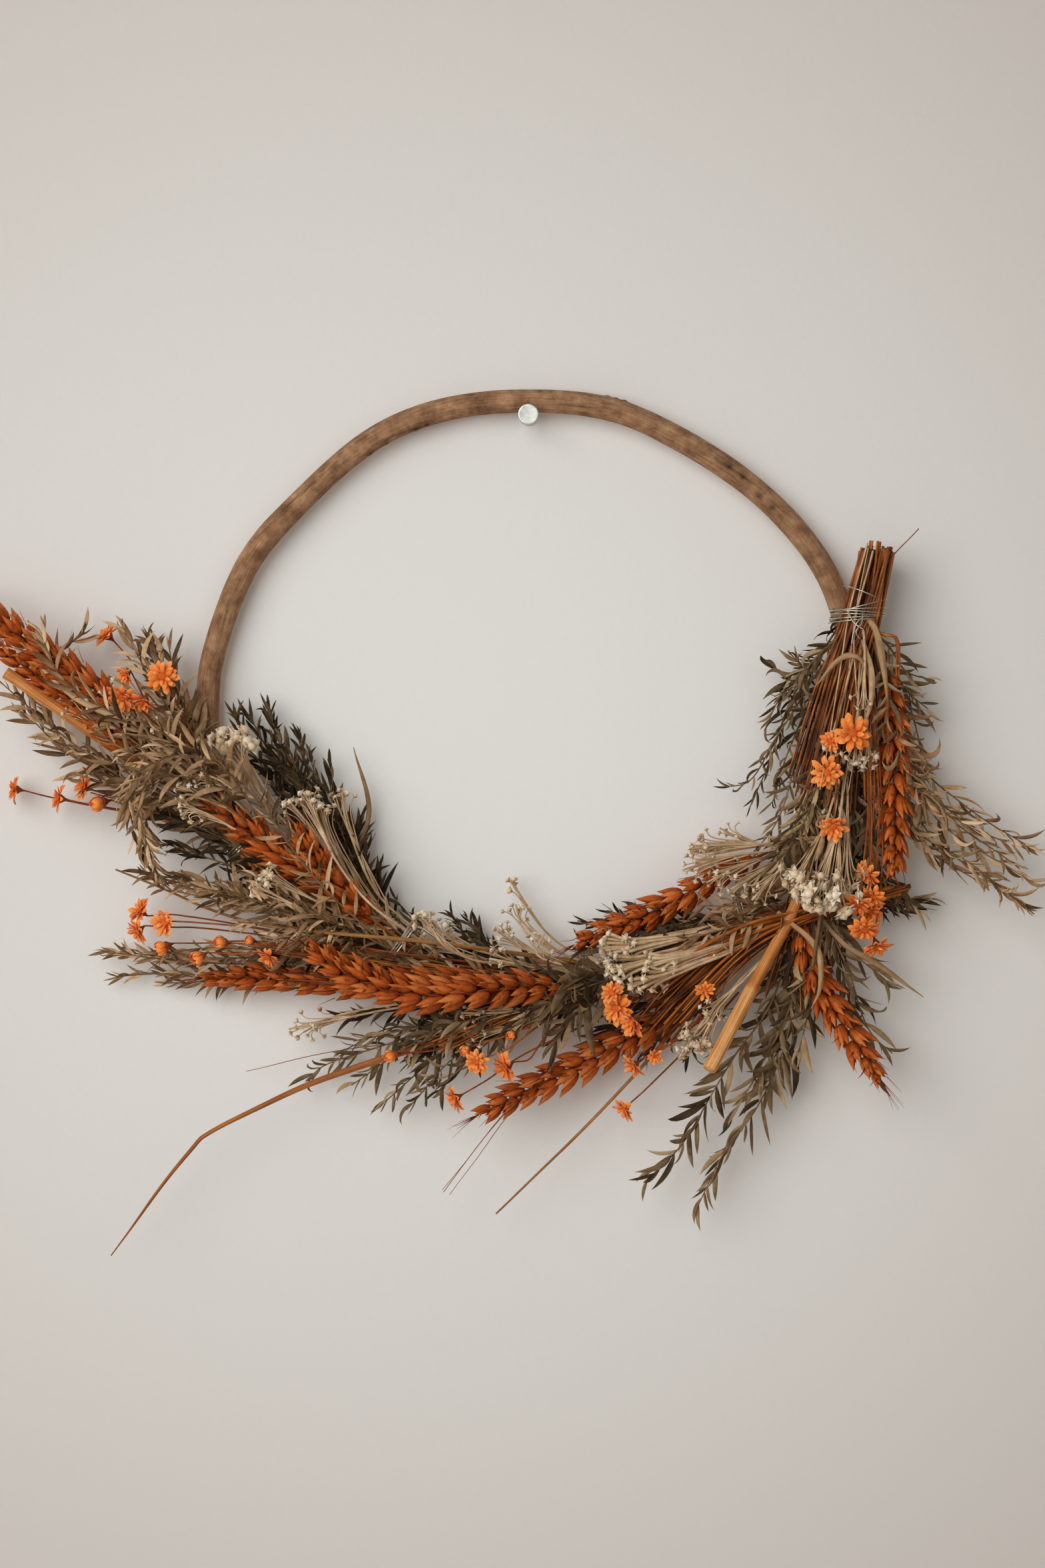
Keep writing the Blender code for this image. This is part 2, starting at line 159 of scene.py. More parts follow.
def smoothLine(points, step=layout["step"] * mm):
    # a curve through all the points, with rings a step apart
    points = np.asarray(points, float)
    ends = [2 * points[0] - points[1], *points, 2 * points[-1] - points[-2]]
    fine = []
    for a, b, c, d in zip(ends, ends[1:], ends[2:], ends[3:]):
        for t in np.linspace(0, 1, layout["cuts"], endpoint=False):
            fine.append(0.5 * (2 * b + (c - a) * t + (2 * a - 5 * b + 4 * c - d) * t**2
                               + (3 * b - a - 3 * c + d) * t**3))
    fine = np.array([*fine, points[-1]])
    return evenly(fine, max(3, round(lengthOf(fine) / step)))


def lengthOf(points):
    return np.linalg.norm(np.diff(points, axis=0), axis=1).sum()


def travelled(points):
    return np.concatenate([[0], np.linalg.norm(np.diff(points, axis=0), axis=1).cumsum()])


def evenly(points, count):
    return pointAt(points, np.linspace(0, travelled(points)[-1], count + 1))


def pointAt(points, distance):
    way = travelled(points)
    return np.stack([np.interp(distance, way, points[:, k]) for k in range(3)], -1)


def gapsTo(line, x, z, depth):
    # how far each point of a line is from one place
    return np.linalg.norm(line - at(x, z, depth), axis=1)


def framesAlong(points, out=toViewer):
    # the directions across, out of and along a line at each of its points
    ahead = unit(np.gradient(points, axis=0))
    out = np.broadcast_to(out, points.shape)
    out = unit(out - ahead * (ahead * out).sum(1, keepdims=True))
    return np.cross(out, ahead), out, ahead


def wobbled(points, size, seed):
    # a dried stem is never quite straight
    offset = [noise.noise_vector(Vector(p) * layout["wave"] + Vector((seed, 0, 0))) for p in points]
    share = np.minimum(1, np.arange(len(points)) / layout["heldRings"])[:, None]
    return points + np.array(offset) * size * share


def routed(route, wobble=0.4, seed=0.0):
    return wobbled(smoothLine([at(*p) for p in route]), wobble * mm, seed)


def ringsOf(node, start):
    # the CAD stem is a tube, so its rings are met one after another from its cut end
    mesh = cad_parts[node].data
    co = np.array([v.co for v in mesh.vertices])
    co, index = np.unique(np.round(co, 6), axis=0, return_inverse=True)
    index = index.reshape(-1)
    near = {k: set() for k in range(len(co))}
    for edge in mesh.edges:
        a, b = index[edge.vertices[0]], index[edge.vertices[1]]
        near[a].add(b)
        near[b].add(a)
    ring, edgeOf = {start(co)}, []
    while len(ring) > len(edgeOf):
        edgeOf = ring
        ring = ring | {b for a in ring for b in near[a]
                       if np.linalg.norm(co[a] - co[b]) < layout["ringEdge"]}
    seen, centres, radii = set(ring), [], []
    while ring:
        found = co[list(ring)]
        centres.append(found.mean(0))
        radii.append(np.linalg.norm(found - found.mean(0), axis=1).mean())
        ring = {b for a in ring for b in near[a]} - seen
        seen |= ring
    return np.array(centres), np.array(radii)


def stemLine(node):
    place = next(p for p in headings if p in node)
    heading = np.array([headings[place][0], 0, headings[place][1]])
    centres, _ = ringsOf(node, lambda co: int(np.argmin(co @ heading)))
    return wobbled(smoothLine(centres), layout["stemWobble"] * mm, len(node))


def nodesNamed(start):
    return sorted(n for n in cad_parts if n.startswith(start))


def pieceName(node):
    first, *rest = node.split("_")
    return first + "".join(word.capitalize() for word in rest)


# building blocks

rods = {}


def straightRod(sides, rings):
    # a capped rod of radius 1 with its rings at z = 0, 1, 2 ...
    if (sides, rings) not in rods:
        bm = bmesh.new()
        bmesh.ops.create_cone(bm, cap_ends=True, segments=sides, radius1=1, radius2=1, depth=rings,
                              matrix=Matrix.Translation((0, 0, rings / 2)))
        long = [e for e in bm.edges if abs(e.verts[0].co.z - e.verts[1].co.z) > 0.5]
        if rings > 1:
            bmesh.ops.subdivide_edges(bm, edges=long, cuts=rings - 1)
        rods[sides, rings] = shapeOf(bm)
    return rods[sides, rings]


def rod(points, radii, sides=6, finish=0, tone=0.5, out=toViewer, ribs=0, ribDepth=0.0):
    # a round or ribbed stem along a line
    rings = len(points) - 1
    straight = straightRod(sides, rings)
    radii = np.broadcast_to(radii, len(points))
    ring = np.rint(straight.co[:, 2]).astype(int)
    across, outward, _ = framesAlong(points, out)
    angle = np.arctan2(straight.co[:, 1], straight.co[:, 0])
    radius = (radii[ring] * (1 - ribDepth * (0.5 + 0.5 * np.cos(angle * ribs))))[:, None]
    x, y = straight.co[:, :1] * radius, straight.co[:, 1:2] * radius
    co = points[ring] + across[ring] * x + outward[ring] * y
    strand = np.concatenate([x, y, travelled(points)[ring][:, None]], 1)
    return straight._replace(co=co, strand=strand, tone=np.full(len(co), tone),
                             finish=np.full(len(straight.sizes), finish))


def tapered(points, thick, thin, power=1.0):
    share = np.linspace(0, 1, len(points)) ** power
    return (thick + (thin - thick) * share) * mm


def flatSheet(columns, rows, finish=0):
    # a thin closed sheet: x from -1 to 1 across it, t from 0 to 1 along it, z from -0.5 to 0.5 through it
    thickness = 0.05
    bm = bmesh.new()
    bmesh.ops.create_grid(bm, x_segments=columns, y_segments=rows, size=1)
    bmesh.ops.solidify(bm, geom=bm.faces[:], thickness=thickness)
    bmesh.ops.recalc_face_normals(bm, faces=bm.faces[:])
    shape = shapeOf(bm, finish)
    x, y, z = shape.co.T
    return shape, x, (y + 1) / 2, (z - z.mean()) / thickness


def blade(values):
    # a leaf, petal or scale: lies along Z, its face towards Y, its base at the origin
    shape, x, t, z = flatSheet(*values["cells"])
    share, width = zip(*values["outline"])
    half = np.interp(t, share, width) * values["width"] * mm / 2
    thick = values["thick"] * mm * np.interp(t, [0, 0.7, 1], [1, 0.7, 0.25])
    fold = values.get("fold", 0.0)
    across = x * half * math.cos(fold)
    cup = values.get("cup", 0.0) * (x * half) ** 2 / (values["width"] * mm)
    out = np.abs(x) * half * math.sin(fold) + cup - z * thick
    # the middle line bends out and sways to the side, and the blade twists about it
    steps = 40
    fine = np.linspace(0, 1, steps + 1)
    bend = values.get("bend", 0.0) * fine ** values.get("bendPower", 1.3)
    sway = values.get("sway", 0.0) * fine
    stepLength = values["length"] * mm / steps
    midOut = np.concatenate([[0], np.cumsum(np.sin(bend[:-1]) * stepLength)])
    midUp = np.concatenate([[0], np.cumsum(np.cos(bend[:-1]) * np.cos(sway[:-1]) * stepLength)])
    midAcross = np.concatenate([[0], np.cumsum(np.sin(sway[:-1]) * stepLength)])
    twist = values.get("twist", 0.0) * t
    turnedAcross = across * np.cos(twist) - out * np.sin(twist)
    turnedOut = across * np.sin(twist) + out * np.cos(twist)
    bendHere = np.interp(t, fine, bend)
    co = np.stack([
        np.interp(t, fine, midAcross) + turnedAcross,
        np.interp(t, fine, midOut) + turnedOut * np.cos(bendHere),
        np.interp(t, fine, midUp) - turnedOut * np.sin(bendHere),
    ], 1)
    return shape._replace(co=co, strand=np.stack([x, t, -np.sign(z)], 1))


def husk(values):
    # a fat pointed scale with a keel along its front and a flatter back
    bm = bmesh.new()
    bmesh.ops.create_uvsphere(bm, u_segments=values["cells"][0], v_segments=values["cells"][1], radius=1)
    shape = shapeOf(bm)
    t = (shape.co[:, 2] + 1) / 2
    angle = np.arctan2(shape.co[:, 1], shape.co[:, 0])
    share, width = zip(*values["outline"])
    half = np.interp(t, share, width) * values["width"] * mm / 2
    pole = np.hypot(shape.co[:, 0], shape.co[:, 1]) < 1e-4
    half = np.where(pole, 0, half)
    front = np.sin(angle)
    keel = 1 + values["keel"] * np.clip(front, 0, 1) ** 6
    nerve = 1 - values["nerve"] * (0.5 - 0.5 * np.cos(angle * 4))
    depth = np.where(front > 0, values["front"] * keel, values["back"])
    out = front * half * depth * nerve + values["curve"] * mm * (t - 0.25) ** 2
    co = np.stack([np.cos(angle) * half * nerve, out, t * values["length"] * mm], 1)
    return shape._replace(co=co, strand=np.stack([angle / math.pi, t, front], 1))


def crumpled(cells, size, depth, seed, finish=0):
    # a ball with coarse and fine dents
    bm = bmesh.new()
    bmesh.ops.create_icosphere(bm, subdivisions=cells, radius=1)
    for v in bm.verts:
        coarse = noise.noise(v.co * 1.9 + Vector((seed, 0, 0)))
        fine = noise.noise(v.co * 4.3 + Vector((0, seed, 0)))
        v.co *= 1 + depth * (coarse + 0.6 * fine)
    shape = shapeOf(bm, finish)
    strand = shape.co[:, [0, 2, 1]]
    return shape._replace(co=shape.co * size * mm, strand=strand)


# finishes

def newGroup(name, inputs, outputs):
    tree = bpy.data.node_groups.new(name, "ShaderNodeTree")
    for title, kind, default in inputs:
        socket = tree.interface.new_socket(title, in_out="INPUT", socket_type=kind)
        if default is not None:
            socket.default_value = default
    for title, kind in outputs:
        tree.interface.new_socket(title, in_out="OUTPUT", socket_type=kind)
    return tree, tree.nodes.new("NodeGroupInput"), tree.nodes.new("NodeGroupOutput")


def feed(tree, node, links):
    # each socket takes a link or a plain value
    for socket, source in dict(links).items():
        if isinstance(source, bpy.types.NodeSocket):
            tree.links.new(source, node.inputs[socket])
        else:
            node.inputs[socket].default_value = source
    return node


def addNode(tree, kind, links=(), **settings):
    node = tree.nodes.new(kind)
    for key, value in settings.items():
        setattr(node, key, value)
    return feed(tree, node, links)


def mathNode(tree, operation, *values):
    return addNode(tree, "ShaderNodeMath", enumerate(values), operation=operation).outputs[0]


def noiseNode(tree, place, scale, detail, rough=0.5):
    return addNode(tree, "ShaderNodeTexNoise", {
        "Vector": place, "Scale": scale, "Detail": detail, "Roughness": rough}).outputs["Fac"]


def rangeNode(tree, value, low, high, least=0.0, most=1.0, **settings):
    links = {"Value": value, "From Min": low, "From Max": high, "To Min": least, "To Max": most}
    return addNode(tree, "ShaderNodeMapRange", links, **settings).outputs[0]


def colourMix(tree, share, first, second):
    # a Mix node set to colours takes them in its sockets 6 and 7
    return addNode(tree, "ShaderNodeMix", {"Factor": share, 6: first, 7: second}, data_type="RGBA").outputs[2]


def colourRamp(tree, pick, codes, stops=(0.0, 1.0)):
    ramp = addNode(tree, "ShaderNodeValToRGB", {0: pick})
    elements = ramp.color_ramp.elements
    for k, (code, position) in enumerate(zip(codes, stops)):
        stop = elements[k] if k < 2 else elements.new(position)
        stop.position = position
        stop.color = hexColour(code)
    return ramp.outputs["Color"]


def bumpNode(tree, height, strength, distance):
    return addNode(tree, "ShaderNodeBump", {
        "Height": height, "Strength": strength, "Distance": distance * mm}).outputs[0]


def hexColour(code):
    # a colour as it looks on screen, made linear
    parts = [int(code[k:k + 2], 16) / 255 for k in (0, 2, 4)]
    return (*[p / 12.92 if p <= 0.04045 else ((p + 0.055) / 1.055) ** 2.4 for p in parts], 1)


def grainGroup():
    # streaks that run the length of a stem, drawn in its own strand coordinates
    tree, start, end = newGroup(
        "strandGrain",
        [("Strand", "NodeSocketVector", None), ("Fineness", "NodeSocketFloat", 900.0),
         ("Stretch", "NodeSocketFloat", 0.06)],
        [("Mask", "NodeSocketFloat"), ("Height", "NodeSocketFloat")],
    )
    squeeze = addNode(tree, "ShaderNodeCombineXYZ", {0: 1.0, 1: 1.0, 2: start.outputs["Stretch"]})
    scaled = addNode(tree, "ShaderNodeVectorMath", {0: start.outputs["Strand"], 1: squeeze.outputs[0]},
                     operation="MULTIPLY").outputs[0]
    broad = noiseNode(tree, scaled, start.outputs["Fineness"], 4.0, 0.6)
    finer = mathNode(tree, "MULTIPLY", start.outputs["Fineness"], 3.1)
    both = mathNode(tree, "ADD", broad, noiseNode(tree, scaled, finer, 2.0))
    feed(tree, end, {"Mask": rangeNode(tree, both, 0.72, 1.28), "Height": both})
    return tree


def mottleGroup():
    # dry blotches in the piece's own space
    tree, start, end = newGroup(
        "dryMottle",
        [("Place", "NodeSocketVector", None), ("Size", "NodeSocketFloat", 200.0)],
        [("Mask", "NodeSocketFloat")],
    )
    cloud = noiseNode(tree, start.outputs["Place"], start.outputs["Size"], 5.0, 0.65)
    feed(tree, end, {"Mask": rangeNode(tree, cloud, 0.32, 0.68)})
    return tree


groups = {"grain": grainGroup(), "mottle": mottleGroup()}


def newMaterial(name):
    made = bpy.data.materials.new(name)
    made.use_nodes = True
    return made, made.node_tree, made.node_tree.nodes["Principled BSDF"]


def plantFinish(name, codes, stops, **values):
    # its colours run along the strand, shift with each copy's tone, and break up with grain and mottle
    made, tree, shader = newMaterial(name)
    strand = addNode(tree, "ShaderNodeAttribute", attribute_name="strand").outputs["Vector"]
    tone = addNode(tree, "ShaderNodeAttribute", attribute_name="tone").outputs["Fac"]
    place = addNode(tree, "ShaderNodeTexCoord").outputs["Object"]
    grain = addNode(tree, "ShaderNodeGroup", node_tree=groups["grain"])
    feed(tree, grain, {"Strand": strand, "Fineness": values["fineness"], "Stretch": values["stretch"]})
    mottle = addNode(tree, "ShaderNodeGroup", node_tree=groups["mottle"])
    feed(tree, mottle, {"Place": place, "Size": values["mottle"]})
    apart = addNode(tree, "ShaderNodeSeparateXYZ", {0: strand})

    # one value picks the colour: mottle, grain and tone, each with its share
    byMottle, byGrain, byTone = values["shares"]
    pick = mathNode(tree, "MULTIPLY", mottle.outputs["Mask"], byMottle)
    pick = mathNode(tree, "MULTIPLY_ADD", grain.outputs["Mask"], byGrain, pick)
    pick = mathNode(tree, "MULTIPLY_ADD", tone, byTone, pick)
    for axis, key in (("Y", "along"), ("Z", "keel")):
        if key in values:
            pick = mathNode(tree, "MULTIPLY_ADD", apart.outputs[axis], values[key], pick)
    colour = colourRamp(tree, pick, codes.split(), stops)
    if "under" in values:
        # a leaf's back is another colour
        back = colourMix(tree, 0.6, colour, hexColour(values["under"]))
        colour = colourMix(tree, rangeNode(tree, apart.outputs["Z"], 0.2, -0.2), colour, back)
    feed(tree, shader, {
        "Base Color": colour,
        "Roughness": rangeNode(tree, grain.outputs["Mask"], 0.0, 1.0, *values["rough"]),
        "Normal": bumpNode(tree, grain.outputs["Height"], *values["bump"]),
        "Specular IOR Level": values.get("shine", 0.25), "Sheen Weight": values.get("sheen", 0.0),
    })
    return made


leafSkin = dict(fineness=7, stretch=0.12, mottle=160, rough=(0.65, 0.85), bump=(0.25, 0.15))
twigSkin = dict(shares=(0.4, 0.4, 0.25), fineness=1800, stretch=0.03, mottle=120, rough=(0.6, 0.85),
                bump=(0.3, 0.12))
finishes = {
    "bark": plantFinish(
        "vineBark", "4a3120 835f44 a57e5e c8a27e", (0.0, 0.35, 0.65, 1.0), shares=(0.55, 0.32, 0.1),
        fineness=900, stretch=0.05, mottle=110, rough=(0.72, 0.9), bump=(0.55, 0.35), shine=0.2),
    # along and keel darken each husk towards its foot and on its back: painted shade in the crevices between
    # the husks
    "wheat": plantFinish(
        "dyedWheat", "260a02 602107 9f4211 c96326 e68e4e", (0.0, 0.3, 0.52, 0.78, 1.0),
        shares=(0.2, 0.22, 0.36), along=0.42, keel=0.17, fineness=26, stretch=0.18, mottle=420,
        rough=(0.65, 0.9), bump=(0.6, 0.4), shine=0.15),
    "wheatStalk": plantFinish(
        "wheatStalk", "562508 9c5218 d28a3c", (0.0, 0.5, 1.0), shares=(0.35, 0.5, 0.25),
        fineness=1500, stretch=0.03, mottle=90, rough=(0.5, 0.8), bump=(0.3, 0.12)),
    "petals": plantFinish(
        "orangePetals", "cc5410 f07a28 fb9a4c ffbe80", (0.0, 0.35, 0.7, 1.0), shares=(0.2, 0.15, 0.25),
        along=0.45, fineness=9, stretch=0.3, mottle=350, rough=(0.7, 0.9), bump=(0.2, 0.15), sheen=0.1),
    "flowerEye": plantFinish(
        "flowerEye", "8f3a12 d0601f ef8a3a", (0.0, 0.5, 1.0), shares=(0.5, 0.2, 0.3),
        fineness=5, stretch=1.0, mottle=900, rough=(0.75, 0.95), bump=(0.5, 0.3)),
    "flowerStem": plantFinish(
        "flowerStem", "481c08 863f16 b86c30", (0.0, 0.5, 1.0), **{**twigSkin, "mottle": 150,
                                                                  "bump": (0.25, 0.1)}),
    "cream": plantFinish(
        "creamHeads", "866543 c2a178 e8d3b2 fcf3e4", (0.0, 0.3, 0.6, 1.0), shares=(0.3, 0.1, 0.4),
        along=0.35, fineness=4, stretch=1.0, mottle=500, rough=(0.8, 0.95), bump=(0.5, 0.3), sheen=0.2),
    "paleStem": plantFinish(
        "paleStem", "785a3c bd9d78 efd9ba", (0.0, 0.5, 1.0), **{**twigSkin, "rough": (0.7, 0.9)}),
    "leaf": plantFinish(
        "oliveLeaf", "291b0d 6f5235 ab8762 e0be96", (0.05, 0.38, 0.7, 1.0), shares=(0.25, 0.2, 0.8),
        under="a58a62", **leafSkin),
    # the two finishes below are the leaf colours made dimmer and darker: painted shade, for leaves that lie
    # in shadow inside the bunches and near the wall
    "dimLeaf": plantFinish(
        "dimLeaf", "20170c 524029 836a4b b89d78", (0.05, 0.38, 0.7, 1.0), shares=(0.25, 0.2, 0.8),
        under="857052", **leafSkin),
    "darkLeaf": plantFinish(
        "shadedLeaf", "191107 3a2d1c 624f36 92795a", (0.0, 0.4, 0.75, 1.0), shares=(0.3, 0.15, 0.6),
        under="6a5a42", **leafSkin),
    "leafStem": plantFinish("leafStem", "3a2816 6e5233 a07f55", (0.0, 0.5, 1.0), **twigSkin),
    "straw": plantFinish(
        "goldenStraw", "74390f ae6628 cf8a48 ecb87c", (0.0, 0.35, 0.65, 1.0), shares=(0.2, 0.62, 0.3),
        fineness=650, stretch=0.02, mottle=70, rough=(0.45, 0.7), bump=(0.45, 0.3), shine=0.4),
    "brownStem": plantFinish(
        "brownStem", "160801 4a2207 904d1a d18a45", (0.0, 0.42, 0.78, 1.0), shares=(0.3, 0.3, 0.5),
        fineness=1600, stretch=0.03, mottle=90, rough=(0.5, 0.75), bump=(0.3, 0.12), shine=0.35),
    "bladeSkin": plantFinish(
        "foldedBlade", "63300f 9a5626 c4833f", (0.0, 0.45, 1.0), shares=(0.3, 0.6, 0.2),
        fineness=900, stretch=0.02, mottle=60, rough=(0.5, 0.75), bump=(0.35, 0.2), shine=0.35),
    "thinStraw": plantFinish(
        "thinStraw", "5a3413 8f5f30 b08049 cda36d", (0.0, 0.4, 0.75, 1.0), shares=(0.3, 0.6, 0.1),
        fineness=900, stretch=0.02, mottle=80, rough=(0.5, 0.75), bump=(0.4, 0.2), shine=0.35),
    "pith": plantFinish(
        "cutPith", "8a6540 c39a66 ddc294", (0.0, 0.5, 1.0), shares=(0.5, 0.3, 0.2),
        fineness=900, stretch=1.0, mottle=900, rough=(0.8, 0.95), bump=(0.3, 0.1)),
}


def metalFinish(name, codes, rough, smearSize=350, scratches=2600, bump=(0.15, 0.02)):
    # drawn or turned metal with faint smears and scratches
    made, tree, shader = newMaterial(name)
    place = addNode(tree, "ShaderNodeTexCoord").outputs["Object"]
    mottle = addNode(tree, "ShaderNodeGroup", node_tree=groups["mottle"])
    smears = feed(tree, mottle, {"Place": place, "Size": smearSize}).outputs["Mask"]
    feed(tree, shader, {
        "Base Color": colourRamp(tree, smears, codes), "Roughness": rangeNode(tree, smears, 0.0, 1.0, *rough),
        "Normal": bumpNode(tree, noiseNode(tree, place, scratches, 2.0), *bump), "Metallic": 1.0,
    })
    return made


finishes["wire"] = metalFinish("bindingWire", ("a9a298", "d8d2c6"), (0.3, 0.5))
finishes["peg"] = metalFinish("pegMetal", ("c4c8c4", "e4e6e2"), (0.35, 0.5))
print("finishes made")


# the vine hoop

hoopValues = dict(
    start=(-36, -303.5), middleHeight=-152, sides=40, step=2.2, waver=0.035, nerve=0.03, markTone="35251a",
    # knots and pits: x, z, side (1 outer edge, -1 inner edge, 0 facing), half length, height and darkness
    knots=[
        (-104, -26, 0, 3.6, 0.75, 0.5), (-99, -23, 0.5, 2.2, 0.6, 0.5), (-86, -18, -0.9, 2.4, 0.8, 0.8),
        (-75, -12.5, -0.9, 2.0, 0.6, 0.7), (-60, -7.5, -0.85, 2.6, 0.9, 0.9),
        (-53, -5.5, -0.8, 1.8, 0.7, 0.8),
        (41, 9.5, 1, 1.5, 0.9, 0.7), (46, 8.6, 1, 1.4, 0.8, 0.8), (51, 7.4, 1, 1.5, 0.9, 0.7),
        (106, -27, 0.2, 2.4, -0.4, 0.9), (113, -33, 0.1, 2.2, -0.4, 0.9), (122, -44, -0.3, 2.6, -0.45, 0.9),
        (128, -50, -0.3, 2.0, -0.4, 0.8), (-158, -100, 0.3, 3.0, 0.4, 0.4), (88, -14, -0.6, 3.0, 0.4, 0.4),
        (150, -76, 0.2, 2.6, 0.35, 0.4), (-20, 7, -0.6, 2.6, 0.4, 0.4),
    ],
    # grooves: x, z of the first end and of the last, side and depth
    grooves=[((-130, -55), (-108, -29), 0.35, 0.35), ((-84, -17), (-47, -5), -0.75, 0.4),
             ((98, -21), (124, -42), 0.15, 0.3), ((-166, -128), (-150, -86), -0.2, 0.22),
             ((10, 6), (42, 3), -0.4, 0.2)],
)


def hoopMarks(centres, co, ring, radial, outer):
    # how far each point is pushed out, in mm, and how dark it is
    push, dark = np.zeros(len(co)), np.zeros(len(co))
    way = travelled(centres) / mm
    front = radial @ toViewer
    side = (radial * outer[ring]).sum(1)
    depth = -centres[0, 1] / mm

    def wayTo(x, z):
        return way[np.argmin(gapsTo(centres, x, z, depth))]

    for x, z, place, long, height, shade in hoopValues["knots"]:
        nearest = wayTo(x, z)
        aim = np.clip(place, -1, 1)
        aimFront = math.sqrt(max(0.0, 1 - aim**2))
        facing = np.clip(side * aim + front * aimFront, 0, 1)
        reach = np.exp(-((way[ring] - nearest) / long) ** 2) * facing ** 14
        push += height * reach
        dark += shade * np.exp(-((way[ring] - nearest) / (long * 0.8)) ** 2) * facing ** 22
    for first, last, place, cut in hoopValues["grooves"]:
        ends = [wayTo(*first), wayTo(*last)]
        middle, half = sum(ends) / 2, abs(ends[1] - ends[0]) / 2
        share = np.clip(1 - np.abs(way[ring] - middle) / half, 0, 1) ** 0.5
        drift = place + 0.12 * np.sin(way[ring] / 9)
        off = np.arctan2(side, front) - np.arcsin(np.clip(drift, -1, 1))
        line = np.exp(-(off / 0.1) ** 2) * share
        push -= cut * line
        dark += 0.7 * line
    return push, np.clip(dark, 0, 1)


def barkMaterial():
    # the bark finish, with knots and grooves darkened
    made = finishes["bark"]
    tree = made.node_tree
    shader = tree.nodes["Principled BSDF"]
    source = shader.inputs["Base Color"].links[0].from_socket
    mark = addNode(tree, "ShaderNodeAttribute", attribute_name="knot").outputs["Fac"]
    feed(tree, shader, {"Base Color": colourMix(tree, mark, source, hexColour(hoopValues["markTone"]))})
    return made


def vineHoop():
    values = hoopValues
    startPoint = at(*values["start"], 0)
    centres, radii = ringsOf("vine_hoop", lambda co: int(np.argmin(np.linalg.norm(co - startPoint, axis=1))))
    fine = smoothLine(centres, values["step"] * mm)
    radii = np.interp(travelled(fine), travelled(centres), radii)
    shape = rod(fine, radii, values["sides"])
    ring = np.rint(straightRod(values["sides"], len(fine) - 1).co[:, 2]).astype(int)
    arm = shape.co - fine[ring]
    radial = unit(arm)
    middle = np.array([0, fine[0, 1], at(0, values["middleHeight"], 0)[2]])
    outer = unit(fine - middle)
    waver = np.array([noise.noise(Vector(p) * 28) + 0.5 * noise.noise(Vector(p) * 70) for p in fine])
    angle = np.arctan2(shape.strand[:, 1], shape.strand[:, 0])
    nerves = np.array([noise.noise(Vector((math.cos(a) * 3.2, math.sin(a) * 3.2, w * 18)))
                       for a, w in zip(angle, shape.strand[:, 2])])
    push, dark = hoopMarks(fine, shape.co, ring, radial, outer)
    grown = arm * (1 + values["waver"] * waver[ring] + values["nerve"] * nerves)[:, None]
    grown = grown + radial * push[:, None] * mm
    caps = (ring == 0) | (ring == len(fine) - 1)
    shape = shape._replace(co=fine[ring] + np.where(caps[:, None], arm * 0.9, grown))
    piece = addPiece("vineHoop", [shape], [barkMaterial()], ["vine_hoop"])
    piece.data.attributes.new("knot", "FLOAT", "POINT").data.foreach_set("value", dark)
    print("hoop:", len(shape.co), "points")
    return fine


hoopLine = vineHoop()


# the peg and the binding wires

def hangingPeg():
    low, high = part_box("hanging_peg")
    front, radius = -low.y / mm, (high.x - low.x) / mm / 2
    values = dict(shank=1.3, collar=4.5, collarThick=1.4, headThick=1.8, rim=0.5, dish=0.12, edge=0.3,
                  steps=64)
    rim, back, dish = values["rim"], front - values["headThick"], values["dish"]
    shank, collar, thick, edge = values["shank"], values["collar"], values["collarThick"], values["edge"]
    # radius and distance from the wall, from the middle of the head's face to the middle of the collar's back
    profile = [(0, front - dish), (radius * 0.7, front - dish * 0.6), (radius - rim * 1.4, front)]
    profile += [(radius - rim + rim * math.sin(a), front - rim + rim * math.cos(a))
                for a in np.linspace(0.2, math.pi / 2, 5)]
    profile += [(radius, back + edge), (radius - edge, back), (shank + edge, back), (shank, back - 0.4),
                (shank, thick + edge), (shank + edge, thick), (collar - edge, thick), (collar, thick - edge),
                (collar, 0), (0, 0)]
    bm = bmesh.new()
    verts = [bm.verts.new((r * mm, -d * mm, 0)) for r, d in profile]
    edges = [bm.edges.new(pair) for pair in zip(verts, verts[1:])]
    bmesh.ops.spin(bm, geom=verts + edges, cent=(0, 0, 0), axis=(0, 1, 0), angle=2 * math.pi,
                   steps=values["steps"], use_merge=True)
    bmesh.ops.remove_doubles(bm, verts=bm.verts[:], dist=0.00001)
    bmesh.ops.recalc_face_normals(bm, faces=bm.faces[:])
    addPiece("hangingPeg", [shapeOf(bm)], [finishes["peg"]], ["hanging_peg"], "peg")


hangingPeg()
for node in nodesNamed("tie_wire") + nodesNamed("lap_wire"):
    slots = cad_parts[node].data.materials
    for k in range(len(slots)):
        slots[k] = finishes["wire"]


# leaves

leafOutline = [(0, 0.12), (0.08, 0.45), (0.3, 0.92), (0.5, 1.0), (0.72, 0.78), (0.9, 0.34), (1, 0.02)]
